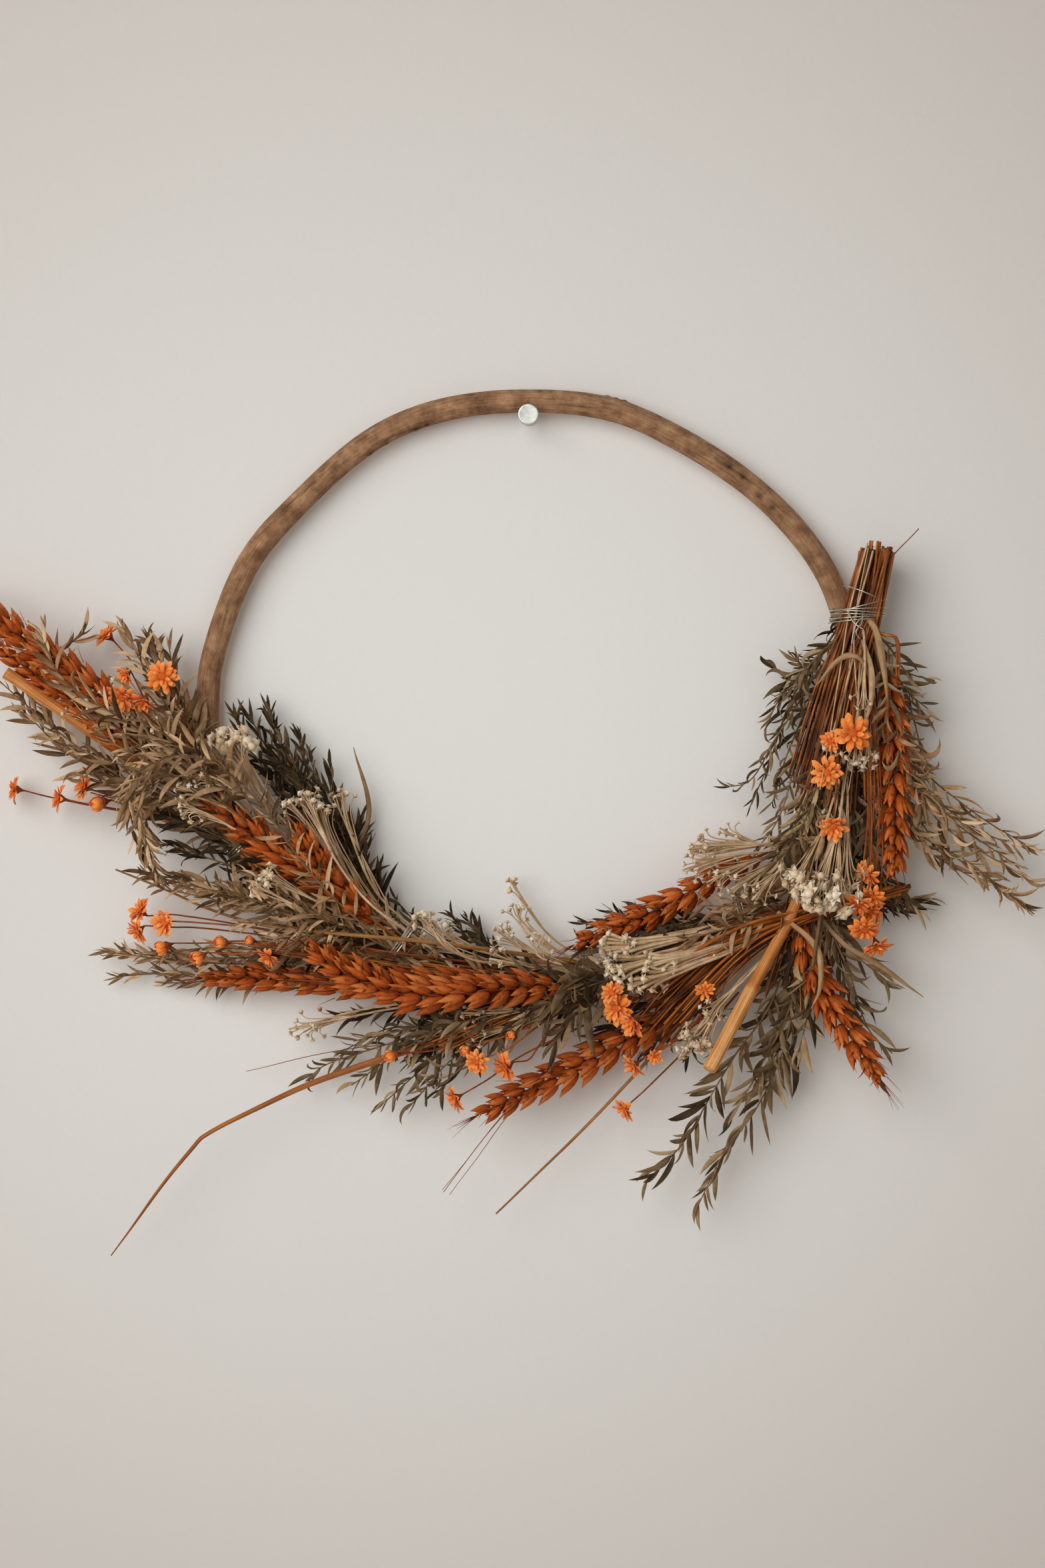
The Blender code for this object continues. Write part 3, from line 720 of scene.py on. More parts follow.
# small parts are modelled 1 m long and scaled as they are set down
leafKinds = [
    blade(dict(cells=(2, 7), outline=leafOutline, length=1 / mm, width=0.165 / mm, thick=0.012 / mm,
               fold=fold, bend=bend, twist=twist, sway=sway, bendPower=power))
    for fold, bend, twist, sway, power in [
        (0.35, 0.6, 0.3, 0.3, 1.3), (0.25, -0.7, -0.5, 0.5, 1.2), (0.5, 1.1, 0.6, -0.5, 1.6),
        (0.3, 0.2, 1.1, 0.6, 1.0), (0.6, -0.4, 0.4, -0.7, 1.4), (0.2, 1.5, -0.8, 0.4, 1.8),
        (0.4, 0.15, -0.3, -0.3, 1.0), (0.7, 2.2, 1.4, 0.6, 2.0),
    ]
]
sprayValues = dict(
    length=(16, 27), gap=3.8, pairing=(0.05, 1.0, 1.35, 1.8),  # now and then two leaves stand at one place
    lean=(0.25, 1.0), tipLean=0.3, flat=0.75, grown=1.12, uneven=(0.7, 1.15), tipShrink=0.45,
    bare=0.22, stem=(0.75, 0.35), curl=0.06,  # curl is the share of leaves that have rolled up
)


def leafSpray(line, rand, **changes):
    # leaves stand alternately along a stem, closer together and more upright near its tip
    values = {**sprayValues, **changes}
    total = lengthOf(line) / mm
    across, out, ahead = framesAlong(line)
    way = travelled(line) / mm
    shapes = [rod(line, tapered(line, *values["stem"]), 6, 1, rand.random())]
    places = {k: ([], []) for k in range(len(leafKinds))}
    reach, side = total * values["bare"], 1
    while reach < total - 1:
        share = reach / total
        k = int(np.searchsorted(way, reach)) - 1
        k = max(0, min(k, len(line) - 2))
        base = line[k] + (line[k + 1] - line[k]) * ((reach - way[k]) / (way[k + 1] - way[k]))
        spin = rand.uniform(-1.3, 1.3) * (1 - values["flat"]) + rand.gauss(0, 0.6)
        radial = across[k] * side * math.cos(spin) + out[k] * (math.sin(spin) + 0.15)
        lean = rand.uniform(*values["lean"]) * (1 - 0.75 * share**3) + values["tipLean"] * rand.random()
        direction = ahead[k] * math.cos(lean) + radial * math.sin(lean)
        roll = rand.gauss(0, 0.8)
        face = (ahead[k] * math.cos(roll) * 0.6 + out[k] * (0.9 + 0.5 * math.sin(roll))
                + across[k] * math.sin(roll) * 0.7)
        size = values["grown"] * rand.uniform(*values["length"]) * rand.uniform(*values["uneven"])
        fromBare = min(1, (share - values["bare"]) * 8 + 0.4)
        size = size * (1 - values["tipShrink"] * share**2) * (0.75 + 0.25 * fromBare)
        kind = len(leafKinds) - 1 if rand.random() < values["curl"] else rand.randrange(len(leafKinds) - 1)
        places[kind][0].append((base, direction, face, size * mm))
        places[kind][1].append(anyTone(rand, 0.5, 0.28))
        reach += values["gap"] * rand.choice(values["pairing"]) * (1 - 0.3 * share)
        side = -side
    shapes += [setDown(leafKinds[k], spots, tones) for k, (spots, tones) in places.items() if spots]
    return shapes


# wheat ears

huskOutline = [(0, 0.35), (0.12, 0.78), (0.32, 1.0), (0.55, 0.86), (0.75, 0.5), (0.9, 0.18), (1, 0.02)]
huskKinds = [
    husk(dict(cells=(8, 7), outline=huskOutline, length=1 / mm, width=wide / mm, keel=keel, nerve=0.12,
              front=0.8, back=0.45, curve=curve / mm))
    for wide, keel, curve in [(0.31, 0.5, 0.16), (0.36, 0.4, 0.24), (0.28, 0.6, 0.06), (0.4, 0.45, 0.18)]
]
earValues = dict(
    length=98, shape=[(0, 0.5), (8, 0.72), (25, 0.95), (55, 1.0), (85, 0.92), (98, 0.6)], fat=1.0,
    gap=5.3, husk=14.4, lean=0.38, out=0.3, base=1.7, stalk=(1.0, 0.75),
    awns=0.16, awn=(5, 13), tipAwns=5, tipAwn=(9, 20),
    # each spikelet is a pair of husks in front, a pair behind and a fat one between them: side towards the
    # viewer, spread, size and kind
    spikelet=[(1, 0.95, 0.92, 0), (1, 0.4, 1.0, 1), (-1, 0.95, 0.92, 2), (-1, 0.4, 0.96, 1),
              (0, 1.2, 1.06, 3)],
    glumes=(1, 1, -1), glume=(0.75, 1.2), glumeSpread=(0.2, 1.7), glumeKinds=(0, 2),
)


def wheatEar(line, rand, **changes):
    values = {**earValues, **changes}
    across, out, ahead = framesAlong(line)
    way = travelled(line) / mm
    total = way[-1]
    length = values["length"]
    shapes = [rod(line, tapered(line, *values["stalk"]), 10, 1, rand.random(), ribs=5, ribDepth=0.08)]
    places = {k: ([], []) for k in range(len(huskKinds))}
    glumes, glumeTones = [], []
    share, width = zip(*values["shape"])
    reaches = np.array(share) * length / share[-1]
    fromTip, side = length, 1
    while fromTip > 2:
        scale = float(np.interp(fromTip, reaches, width)) * values["fat"]
        k = min(len(line) - 1, int(np.searchsorted(way, total - fromTip)))
        base = pointAt(line, (total - fromTip) * mm)
        a, o, f = across[k], out[k], ahead[k]
        lean = values["lean"] * (0.35 + 0.65 * min(1, fromTip / 30)) + rand.gauss(0, 0.04)
        for lift, spread, size, kind in values["spikelet"]:
            direction = (f + a * side * (math.tan(lean) * spread + rand.gauss(0, 0.05))
                         + o * (lift * values["out"] + rand.gauss(0, 0.05)))
            face = o * lift + a * side * (0.35 if lift else 1.0)
            foot = base + (a * side * values["base"] * (0.6 + 0.4 * spread) + o * lift * 1.3) * scale * mm
            size *= scale * values["husk"] * rand.uniform(0.9, 1.1)
            places[kind][0].append((foot, direction, face, size * mm))
            places[kind][1].append(anyTone(rand, 0.5, 0.25))
            if rand.random() < values["awns"]:
                tip = foot + unit(direction) * size * 0.96 * mm
                shapes.append(awn(tip, direction, rand.uniform(*values["awn"]), rand))
        # thin ragged glumes stand between the husks
        for lift in values["glumes"]:
            direction = (f + a * side * math.tan(lean) * rand.uniform(*values["glumeSpread"])
                         + o * lift * (values["out"] + rand.gauss(0.1, 0.12)))
            size = scale * values["husk"] * rand.uniform(*values["glume"])
            foot = base + o * lift * 1.2 * scale * mm
            glumes.append((foot, direction, o * lift + a * rand.gauss(0, 0.6), size * mm))
            glumeTones.append(anyTone(rand, 0.45, 0.3))
        fromTip -= values["gap"] * rand.uniform(0.88, 1.12) * (0.45 + 0.55 * scale)
        side = -side
    for _ in range(values["tipAwns"]):
        direction = ahead[-1] + across[-1] * rand.gauss(0, 0.18) + out[-1] * rand.gauss(0, 0.18)
        shapes.append(awn(line[-1] + ahead[-1] * 3 * mm, direction, rand.uniform(*values["tipAwn"]), rand))
    shapes += [setDown(huskKinds[k], spots, tones) for k, (spots, tones) in places.items()]
    half = len(glumes) // 2
    for kind, part in zip(values["glumeKinds"], (slice(half), slice(half, None))):
        shapes.append(setDown(leafKinds[kind], glumes[part], glumeTones[part]))
    return shapes


def awn(start, direction, length, rand):
    # a fine bowed hair
    direction = unit(direction)
    bow = unit(np.cross(direction, toViewer)) * rand.uniform(-0.12, 0.12) * length * mm
    points = np.array([start + direction * length * mm * t + bow * t * t for t in np.linspace(0, 1, 5)])
    return rod(points, tapered(points, 0.22, 0.05), 4, 0, rand.random())


# star flowers

petalOutline = [(0, 0.4), (0.2, 0.7), (0.5, 1.0), (0.78, 0.92), (0.93, 0.5), (1, 0.12)]
petalKinds = [
    blade(dict(cells=(2, 5), outline=petalOutline, length=1 / mm, width=0.48 / mm, thick=0.035 / mm,
               fold=0.15, cup=cup, bend=bend, twist=twist, sway=sway))
    for cup, bend, twist, sway in [(0.5, -0.35, 0.2, 0.1), (0.8, -0.2, -0.25, -0.15), (0.3, -0.7, 0.35, 0.2),
                                   (0.6, 0.25, -0.1, -0.1)]
]
closedPetal = blade(dict(cells=(2, 5), outline=petalOutline, length=1 / mm, width=0.46 / mm, thick=0.035 / mm,
                         fold=0.1, cup=0.9, bend=1.7, twist=0.1))
flowerValues = dict(
    rings=(10, 9, 6), petal=6.6, eye=2.2, eyeRise=0.9, eyeFlat=0.62, budEye=0.85,
    cone=(2.7, 0.5, 4.6), stem=(0.62, 0.42),  # the cone's top and foot radius and its length
    # how far each ring of petals leans out
    opening={"open": (1.45, 1.15, 0.75), "half": (0.95, 0.7, 0.45), "bud": (0.75, 0.55, 0.3)},
)


def starFlower(kind, seed):
    # its face looks along Z, and its cone hangs below the origin
    rand = random.Random(seed)
    values = flowerValues
    up = np.array([0, 0, 1])
    kinds = petalKinds + [closedPetal]
    spots = {k: [] for k in range(len(kinds))}
    for ring, (count, lean) in enumerate(zip(values["rings"], values["opening"][kind])):
        for k in range(count):
            turn = (k + 0.5 * (ring % 2)) * 2 * math.pi / count + rand.gauss(0, 0.09)
            radial = np.array([math.cos(turn), math.sin(turn), 0])
            tilt = lean + rand.gauss(0, 0.14)
            direction = radial * math.sin(tilt) + up * math.cos(tilt)
            face = up * math.sin(tilt) - radial * math.cos(tilt)
            size = values["petal"] * (1 - 0.14 * ring) * rand.uniform(0.86, 1.08)
            which = len(petalKinds) if kind == "bud" else rand.randrange(len(petalKinds))
            foot = radial * (2.1 - 0.45 * ring) * mm + up * (0.35 * ring * mm)
            spots[which].append((foot, direction, face, size * mm))
    shapes = [setDown(kinds[k], found, [rand.random() for _ in found]) for k, found in spots.items() if found]
    eye = crumpled(3, values["eye"] * (values["budEye"] if kind == "bud" else 1), 0.16, seed, 1)
    eyePlace = eye.co * [1, 1, values["eyeFlat"]] + up * (values["eyeRise"] * mm)
    shapes.append(eye._replace(co=eyePlace, tone=np.full(len(eye.co), 0.5)))
    top, foot, length = values["cone"]
    line = np.array([[0, 0, -length * mm * (1 - t)] for t in (0, 0.25, 0.5, 0.75, 0.92, 1.12)])
    radii = np.array([foot, foot + 0.35, foot + 1.0, top - 0.35, top, top * 0.75]) * mm
    cone = rod(line, radii, 14, 2, 0.45, out=np.array([0, 1.0, 0]), ribs=7, ribDepth=0.1)
    return joined(shapes + [cone])


flowerKinds = {kind: [starFlower(kind, seed) for seed in seeds]
               for kind, seeds in (("open", (1, 2, 3, 4)), ("half", (5, 6)), ("bud", (7, 8)))}


def starOn(line, rand, face, kind="open", size=1.0):
    # a flower on the end of its stem; face is x, z and how much it turns to the viewer
    face = unit(np.array([face[0], -face[2], face[1]], float))
    foot = line[-1] - face * flowerValues["cone"][2] * size * mm
    fromTip = travelled(line)[-1] - travelled(line)
    keep = [p for p, d in zip(line, fromTip) if d > 12 * mm][::3]
    if len(keep) < 2:
        keep = [line[0]]
    stem = smoothLine([*keep, foot, foot + face * 2 * mm * size], 2 * mm)
    thick, thin = flowerValues["stem"]
    shapes = [rod(stem, tapered(stem, thick, thin), 7, 2, rand.random())]
    model = rand.choice(flowerKinds[kind])
    flower = setDown(model, [(line[-1], face, anyDirection(rand), size)])
    shift = rand.gauss(0, 0.12)
    shapes.append(flower._replace(tone=np.clip(flower.tone + shift, 0, 1)))
    return shapes


# cream heads

paperScale = blade(dict(cells=(2, 2), outline=petalOutline, length=1 / mm, width=0.62 / mm, thick=0.06 / mm,
                        fold=0.1, cup=1.1, bend=-0.7, twist=0.2))


goldenTurn = 2.4  # radians between one scale or twig and the next


def creamHead(seed, long):
    # a papery head: blunt scales crowded round a crumpled heart
    values = dict(scales=8, scale=(0.75, 1.1), heart=0.62, heartRise=0.35, heartTone=0.15)
    rand = random.Random(seed)
    spots = []
    for k in range(values["scales"]):
        turn, high = k * goldenTurn + rand.gauss(0, 0.25), 0.1 + 0.1 * k + rand.gauss(0, 0.06)
        radial = np.array([math.cos(turn), math.sin(turn), 0]) * math.sqrt(max(0, 1 - high**2))
        ahead = radial * 0.8 + np.array([0, 0, 0.5 + 0.5 * high])
        face = np.array([0, 0, 1.0]) - radial * 0.5
        spots.append((radial * 0.3 * mm, ahead, face, rand.uniform(*values["scale"]) * mm))
    scales = setDown(paperScale, spots, [rand.random() for _ in spots])
    heart = crumpled(1, values["heart"], 0.3, seed)
    heart = heart._replace(co=heart.co + [0, 0, values["heartRise"] * mm],
                           tone=np.full(len(heart.co), values["heartTone"]))
    head = joined([scales, heart])
    return head._replace(co=head.co * [1, 1, long])


headKinds = [creamHead(k + 1, long) for k, long in enumerate((0.95, 1.1, 0.85, 1.3, 1.0, 1.2))]
sprigValues = dict(heads=7, spread=(8, 6, 5), radius=(2.2, 3.3), branch=(16, 40), stalk=(0.8, 0.6),
                   twig=(0.42, 0.28))


def creamSprig(line, rand, **changes):
    # pale twigs leave the stalk one after another and each ends in a papery head
    values = {**sprigValues, **changes}
    across, out, ahead = framesAlong(line)
    total = lengthOf(line) / mm
    shapes = [rod(line, tapered(line, *values["stalk"]), 6, 1, rand.random())]
    spots, tones = [], []
    for k in range(values["heads"]):
        turn = k * goldenTurn + rand.gauss(0, 0.3)
        far = math.sqrt((k + 0.3) / values["heads"])
        wide, deep, high = values["spread"]
        end = (line[-1] + across[-1] * wide * far * math.cos(turn) * mm
               + out[-1] * deep * far * math.sin(turn) * mm
               - ahead[-1] * high * far * rand.uniform(0.3, 1.2) * mm)
        fromTip = min(total * 0.8, rand.uniform(*values["branch"]))
        root = pointAt(line, (total - fromTip) * mm)
        lean = pointAt(line, (total - fromTip * 0.45) * mm) * 0.55 + end * 0.45
        twigLine = smoothLine([root, lean, end], 2.5 * mm)
        shapes.append(rod(twigLine, tapered(twigLine, *values["twig"]), 5, 1, rand.random()))
        direction = unit(twigLine[-1] - twigLine[-2]) + unit(end - line[-1] + ahead[-1] * 1e-3) * 0.3
        radius = rand.uniform(*values["radius"])
        spots.append((end, direction, anyDirection(rand), radius))
        tones.append(anyTone(rand, 0.55, 0.25))
    for spot, tone in zip(spots, tones):
        shapes.append(setDown(rand.choice(headKinds), [spot], [tone]))
    return shapes


# straws, blade and thin stems

def thickStraw(node, forward, knotAt=None):
    # a ribbed hollow straw, cut square at its far end
    values = dict(
        wide=6.4, sides=48, ribs=16, ribDepth=0.1, knot=0.45, beyond=1.14, tones=(0.3, 1.0),
        # the rims of the pith cup: share of the straw's radius and distance past its end
        rims=[(0.98, 0.0), (0.86, 0.3), (0.78, 0.28), (0.72, -2.0), (0.3, -4.0)], pithThick=0.12,
    )
    line = stemLine(node)
    line = smoothLine(line[::4], 2.5 * mm)
    # it lies over its neighbours, so it leaves the bunch a little further forward
    rise = np.sin(travelled(line) / lengthOf(line) * math.pi / 2) * forward * mm
    line = line + toViewer * rise[:, None]
    radii = np.full(len(line), values["wide"] / 2 * mm)
    step = np.arange(len(line))
    tones = np.full(len(line), 0.5)
    if knotAt:
        knot = np.argmin(gapsTo(line, *knotAt, -line[:, 1].mean() / mm))
        radii = radii * np.where(step > knot, values["beyond"], 1.0)
        radii = radii + np.where(step == knot, values["knot"], 0) * mm
        tones = np.where(step > knot, values["tones"][1], values["tones"][0])
    shape = rod(line, radii, values["sides"], 0, 0.5, ribs=values["ribs"], ribDepth=values["ribDepth"])
    ring = np.rint(straightRod(values["sides"], len(line) - 1).co[:, 2]).astype(int)
    shape = shape._replace(tone=tones[ring])
    # the bore: a pith cup set into the cut end
    _, out, ahead = framesAlong(line)
    bm = bmesh.new()
    rims = [bmesh.ops.create_circle(bm, segments=values["sides"], radius=share * radii[-1] / mm,
                                    matrix=Matrix.Translation((0, 0, past)))["verts"]
            for share, past in values["rims"]]
    for a, b in zip(rims, rims[1:]):
        edges = dict.fromkeys(e for rim in (a, b) for v in rim for e in v.link_edges
                              if all(w in rim for w in e.verts))
        bmesh.ops.bridge_loops(bm, edges=list(edges))
    bmesh.ops.contextual_create(bm, geom=rims[-1])
    bmesh.ops.solidify(bm, geom=bm.faces[:], thickness=values["pithThick"])
    bmesh.ops.recalc_face_normals(bm, faces=bm.faces[:])
    cup = shapeOf(bm, 1)
    cup = setDown(cup._replace(co=cup.co * mm), [(line[-1], ahead[-1], out[-1], 1.0)], [0.4])
    cup = cup._replace(strand=cup.co)
    addPiece(pieceName(node), [shape, cup], [finishes["straw"], finishes["pith"]], [node])


thickStraw("thick_straw_far_left", 7)
thickStraw("thick_straw_corner", 5, (115, -304))

thinStrawValues = dict(thick=1.35, thin=0.55, power=1.6, ribs=5, ribDepth=0.14, knot=0.35, knotReach=1.6)
for node, knots in (("thin_straw_bottom", ()), ("thin_straw_lower", ((-2, -404), (8, -396)))):
    values = thinStrawValues
    line = smoothLine(stemLine(node)[::3], 2 * mm)
    radii = tapered(line, values["thick"], values["thin"], values["power"])
    for x, z in knots:
        near = gapsTo(line, x, z, -line[:, 1].mean() / mm) < values["knotReach"] * mm
        radii = radii + np.where(near, values["knot"], 0) * mm
    shape = rod(line, radii, 14, 0, 0.6, ribs=values["ribs"], ribDepth=values["ribDepth"])
    addPiece(pieceName(node), [shape], [finishes["thinStraw"]], [node])


def ribbon(line, half, fold=0.9, thick=0.32, curl=0.35, turn=0.25, tone=0.5):
    # a long flat leaf folded along its middle; half gives its half width in mm at even steps
    share = travelled(line) / lengthOf(line)
    half = np.interp(share, np.linspace(0, 1, len(half)), half)
    across, out, _ = framesAlong(line)
    shape, x, t, z = flatSheet(6, len(line) - 1)
    ring = np.rint(t * (len(line) - 1)).astype(int)
    angle = turn + curl * np.sin(share[ring] * 7)
    u = x * half[ring] * math.cos(fold)
    w = (0.5 - np.abs(x)) * half[ring] * math.sin(fold) - z * thick
    aside = (u * np.cos(angle) - w * np.sin(angle)) * mm
    forward = (u * np.sin(angle) + w * np.cos(angle)) * mm
    co = line[ring] + across[ring] * aside[:, None] + out[ring] * forward[:, None]
    strand = np.stack([x * half[ring] * mm, z * 0, travelled(line)[ring]], 1)
    return shape._replace(co=co, strand=strand, tone=np.full(len(co), tone))


bladeLine = routed([
    (20, -302, 20), (-25, -322, 26), (-60, -333, 28), (-110, -350, 30), (-150, -369, 30), (-169, -379, 30),
    (-175, -385, 30), (-196, -411, 28), (-218, -442, 27),
], 0.8)
addPiece("longBlade", [ribbon(bladeLine, (1.2, 2.7, 3.3, 3.0, 2.5, 2.0, 1.7, 1.3, 0.4))],
         [finishes["bladeSkin"]], ["long_blade"])


# every plant that has its own CAD stem, and what sets it apart from its kind

def dress(kind, make, changes, finish, ownFinishes=None):
    for node in nodesNamed(kind):
        place = node[len(kind) + 1:]
        shapes = make(stemLine(node), random.Random(node), **changes.get(place, {}))
        addPiece(pieceName(node), shapes, (ownFinishes or {}).get(place, finish), [node])


dress("wheat", wheatEar, {
    "bottom_front": dict(length=150, fat=1.12),
    "bottom_far": dict(tipAwns=6, lean=0.24),
    "bottom_near": dict(length=62, fat=1.05),
    "left_outer": dict(length=112, fat=1.1),
    "left_inner": dict(length=62),
    "corner_outer": dict(tipAwns=7, fat=1.05),
    "corner_inner": dict(length=105),
    "lower": dict(length=130, tipAwns=7, fat=1.12),
    "right": dict(length=104, awns=0.04, tipAwns=2, fat=1.08),
    "far_left_upper": dict(length=122, fat=0.82, husk=17.5),
    "far_left_lower": dict(length=112, fat=0.76, husk=17.5),
}, [finishes["wheat"], finishes["wheatStalk"]])
print("wheat ears made")

flowerFinishes = [finishes["petals"], finishes["flowerEye"], finishes["flowerStem"]]
dress("star_flower", starOn, {
    "far_left": dict(face=(-0.6, 0.6, 0.35)),
    "far_left_front": dict(face=(-0.1, -0.1, 1), size=1.1),
    "far_left_row": dict(face=(-1, 0.12, 0.15), size=0.95),
    "bottom_far": dict(face=(-0.7, 0.5, 0.5)),
    "bottom_low": dict(face=(-0.9, -0.2, 0.6), kind="bud", size=0.95),
    "lower": dict(face=(-0.55, 0.1, 0.75), size=1.15),
    "right_low": dict(face=(0.1, -0.5, 0.8)),
    "right_side": dict(face=(-0.3, -0.1, 1), size=1.1),
    "right_top": dict(face=(-0.1, 0.1, 1), size=1.25),
}, flowerFinishes)

dress("cream_sprig", creamSprig, {
    "right_big": dict(heads=15, spread=(15, 9, 15), radius=(3.6, 5.2), branch=(20, 50)),
    "right_small": dict(heads=6, spread=(9, 5, 6), radius=(2.4, 3.2)),
    "left_upper": dict(heads=9, spread=(9, 6, 7), radius=(4.2, 5.4)),
    "left_inner": dict(heads=8, spread=(9, 5, 6), radius=(2.2, 3.2), branch=(22, 48)),
    "lower_tall": dict(heads=4, spread=(3, 3, 6), radius=(1.9, 2.6), branch=(14, 34)),
    "lower_brush": dict(heads=14, spread=(11, 8, 12), radius=(1.9, 2.6), branch=(18, 50)),
    "lower_end": dict(heads=11, spread=(10, 6, 10), radius=(2.4, 3.4)),
    "corner": dict(heads=10, spread=(8, 6, 8), radius=(2.2, 3.2)),
    "bottom": dict(heads=7, spread=(6, 5, 6), radius=(2.0, 3.0)),
}, [finishes["cream"], finishes["paleStem"]])

# CAD sprays in these places take a leaf finish with painted shade, as they lie in shadow
shadedPlaces = {
    "darkLeaf": ("left_inner", "left_dark", "lower", "right_inner"),
    "dimLeaf": ("corner_outer", "corner_inner", "corner_right", "bottom_low"),
}
shadedFinishes = {place: [finishes[leaf], finishes["leafStem"]]
                  for leaf, places in shadedPlaces.items() for place in places}
dress("leaf_spray", leafSpray, {
    "corner_outer": dict(length=(19, 30), gap=3.6),
    "corner_inner": dict(length=(19, 30), gap=3.6),
    "corner_right": dict(length=(18, 28), gap=3.2),
    "bottom_far": dict(length=(14, 22), gap=2.8),
    "bottom_low": dict(length=(13, 19), curl=0.15),
    "left_front": dict(length=(13, 20), gap=2.8),
    "left_inner": dict(length=(14, 19), gap=2.2),
    "right_inner": dict(length=(10, 17), curl=0.3),
    "right_outer": dict(length=(14, 21), gap=4.2, curl=0.25),
    "right_low": dict(length=(14, 21), gap=4.2, curl=0.25),
}, [finishes["leaf"], finishes["leafStem"]], shadedFinishes)
print("CAD stems dressed")


# the stems that fill the bunches out, each route as x, z and distance from the wall in mm

bunchValues = dict(
    sprayWobble=2.0, bare=0.3, sprigWobble=1.2, heads=(0.78, 1.15), stemWobble=0.8,
    cross=(0.8, 0.6, 0.3), loose=0.25, uneven=(0.7, 1.25), thinning=0.6,
)


# sprays given a shaded leaf finish are leaves coloured with painted shade, set where the bunches lie in deep
# shadow
def sprays(name, routes, finish="leaf", **changes):
    rand = random.Random(name)
    shapes = []
    for k, route in enumerate(routes):
        line = routed(route, bunchValues["sprayWobble"], 1.7 * k)
        shapes += leafSpray(line, rand, **{"bare": bunchValues["bare"], **changes})
    addPiece(name, shapes, [finishes[finish], finishes["leafStem"]], ())


def sprigs(name, routes, **changes):
    rand = random.Random(name)
    shapes = []
    for k, (heads, radius, route) in enumerate(routes):
        own = dict(heads=heads, radius=tuple(radius * share for share in bunchValues["heads"]))
        shapes += creamSprig(routed(route, bunchValues["sprigWobble"], 2.3 * k), rand, **{**own, **changes})
    addPiece(name, shapes, [finishes["cream"], finishes["paleStem"]], ())


def stars(name, flowers):
    rand = random.Random(name)
    shapes = []
    for k, (face, kind, size, route) in enumerate(flowers):
        shapes += starOn(routed(route, bunchValues["stemWobble"], 3.1 * k), rand, face, kind, size)
    addPiece(name, shapes, flowerFinishes, ())


def stems(name, finish, groups, nodes=()):
    # each group is copies of one route, whose points scatter by the amounts given at its two ends
    rand = random.Random(name)
    shapes = []
    for copies, thick, scatter, route in groups:
        for _ in range(copies):
            # a cut end lies level with its neighbours, and stays in the bundle's round
            shift = np.array([rand.uniform(-1, 1), rand.gauss(0, 0.12), rand.uniform(-1, 1)])
            loose = np.array([rand.gauss(0, bunchValues["loose"]) for _ in range(3)])
            cross = shift * bunchValues["cross"] + loose
            far = np.linspace(0, 1, len(route))[:, None]
            points = np.array(route) + shift * scatter[0] * (1 - far) + cross * scatter[1] * far
            line = routed(points, bunchValues["stemWobble"], rand.random() * 9)
            size = thick * rand.uniform(*bunchValues["uneven"]) / 2
            shapes.append(rod(line, tapered(line, size, size * bunchValues["thinning"]), 6, 0, rand.random()))
    addPiece(name, shapes, [finishes[finish]], nodes)


farLeftTie, leftTie, bottomTie, lowerTie = (-150, -224, 18), (-70, -279, 20), (26, -298, 20), (110, -267, 24)
cornerTie, rightTie = (154, -222, 22), (174, -108, 26)

sprays("farLeftTopLeaves", [
    [farLeftTie, (-172, -182, 24), (-196, -142, 30), (-210, -115, 32)],
    [farLeftTie, (-170, -180, 18), (-188, -140, 24), (-198, -117, 26)],
    [farLeftTie, (-168, -182, 16), (-183, -150, 18), (-189, -123, 20)],
    [farLeftTie, (-184, -186, 12), (-222, -152, 14), (-248, -132, 16), (-234, -115, 18)],
], gap=3.2, length=(16, 27))
sprays("farLeftClumpLeaves", [
    [farLeftTie, (-185, -190, 34), (-215, -165, 36), (-234, -150, 34)],
    [farLeftTie, (-190, -182, 32), (-222, -158, 33), (-244, -139, 30)],
    [farLeftTie, (-180, -196, 38), (-208, -178, 42), (-225, -168, 40)],
    [farLeftTie, (-170, -192, 36), (-188, -170, 42), (-206, -158, 42)],
], gap=3.9, length=(13, 21), lean=(0.4, 1.0))
sprays("farLeftLowLeaves", [
    [farLeftTie, (-200, -200, 16), (-240, -180, 18), (-267, -156, 20)],
    [farLeftTie, (-205, -196, 22), (-240, -172, 24), (-268, -150, 22), (-281, -139, 20)],
    [farLeftTie, (-195, -206, 18), (-220, -196, 20), (-238, -190, 20)],
    [farLeftTie, (-186, -198, 30), (-212, -186, 32), (-236, -178, 30)],
], gap=4.3, length=(16, 27), lean=(0.4, 1.0), curl=0.25)
sprays("foldedDownLeaves", [
    [(-128, -236, 30), (-150, -205, 40), (-172, -186, 46), (-195, -187, 50),
     (-206, -202, 48), (-204, -226, 40)],
    [(-128, -238, 26), (-152, -210, 38), (-178, -192, 44), (-198, -198, 46),
     (-201, -220, 42), (-192, -244, 36)],
    [(-128, -234, 30), (-148, -200, 42), (-166, -180, 48), (-186, -176, 50),
     (-202, -184, 48), (-210, -200, 44)],
    [(-128, -238, 24), (-156, -214, 34), (-180, -202, 40), (-196, -208, 42), (-199, -232, 38)],
], gap=3.0, length=(15, 24), lean=(0.3, 0.8))
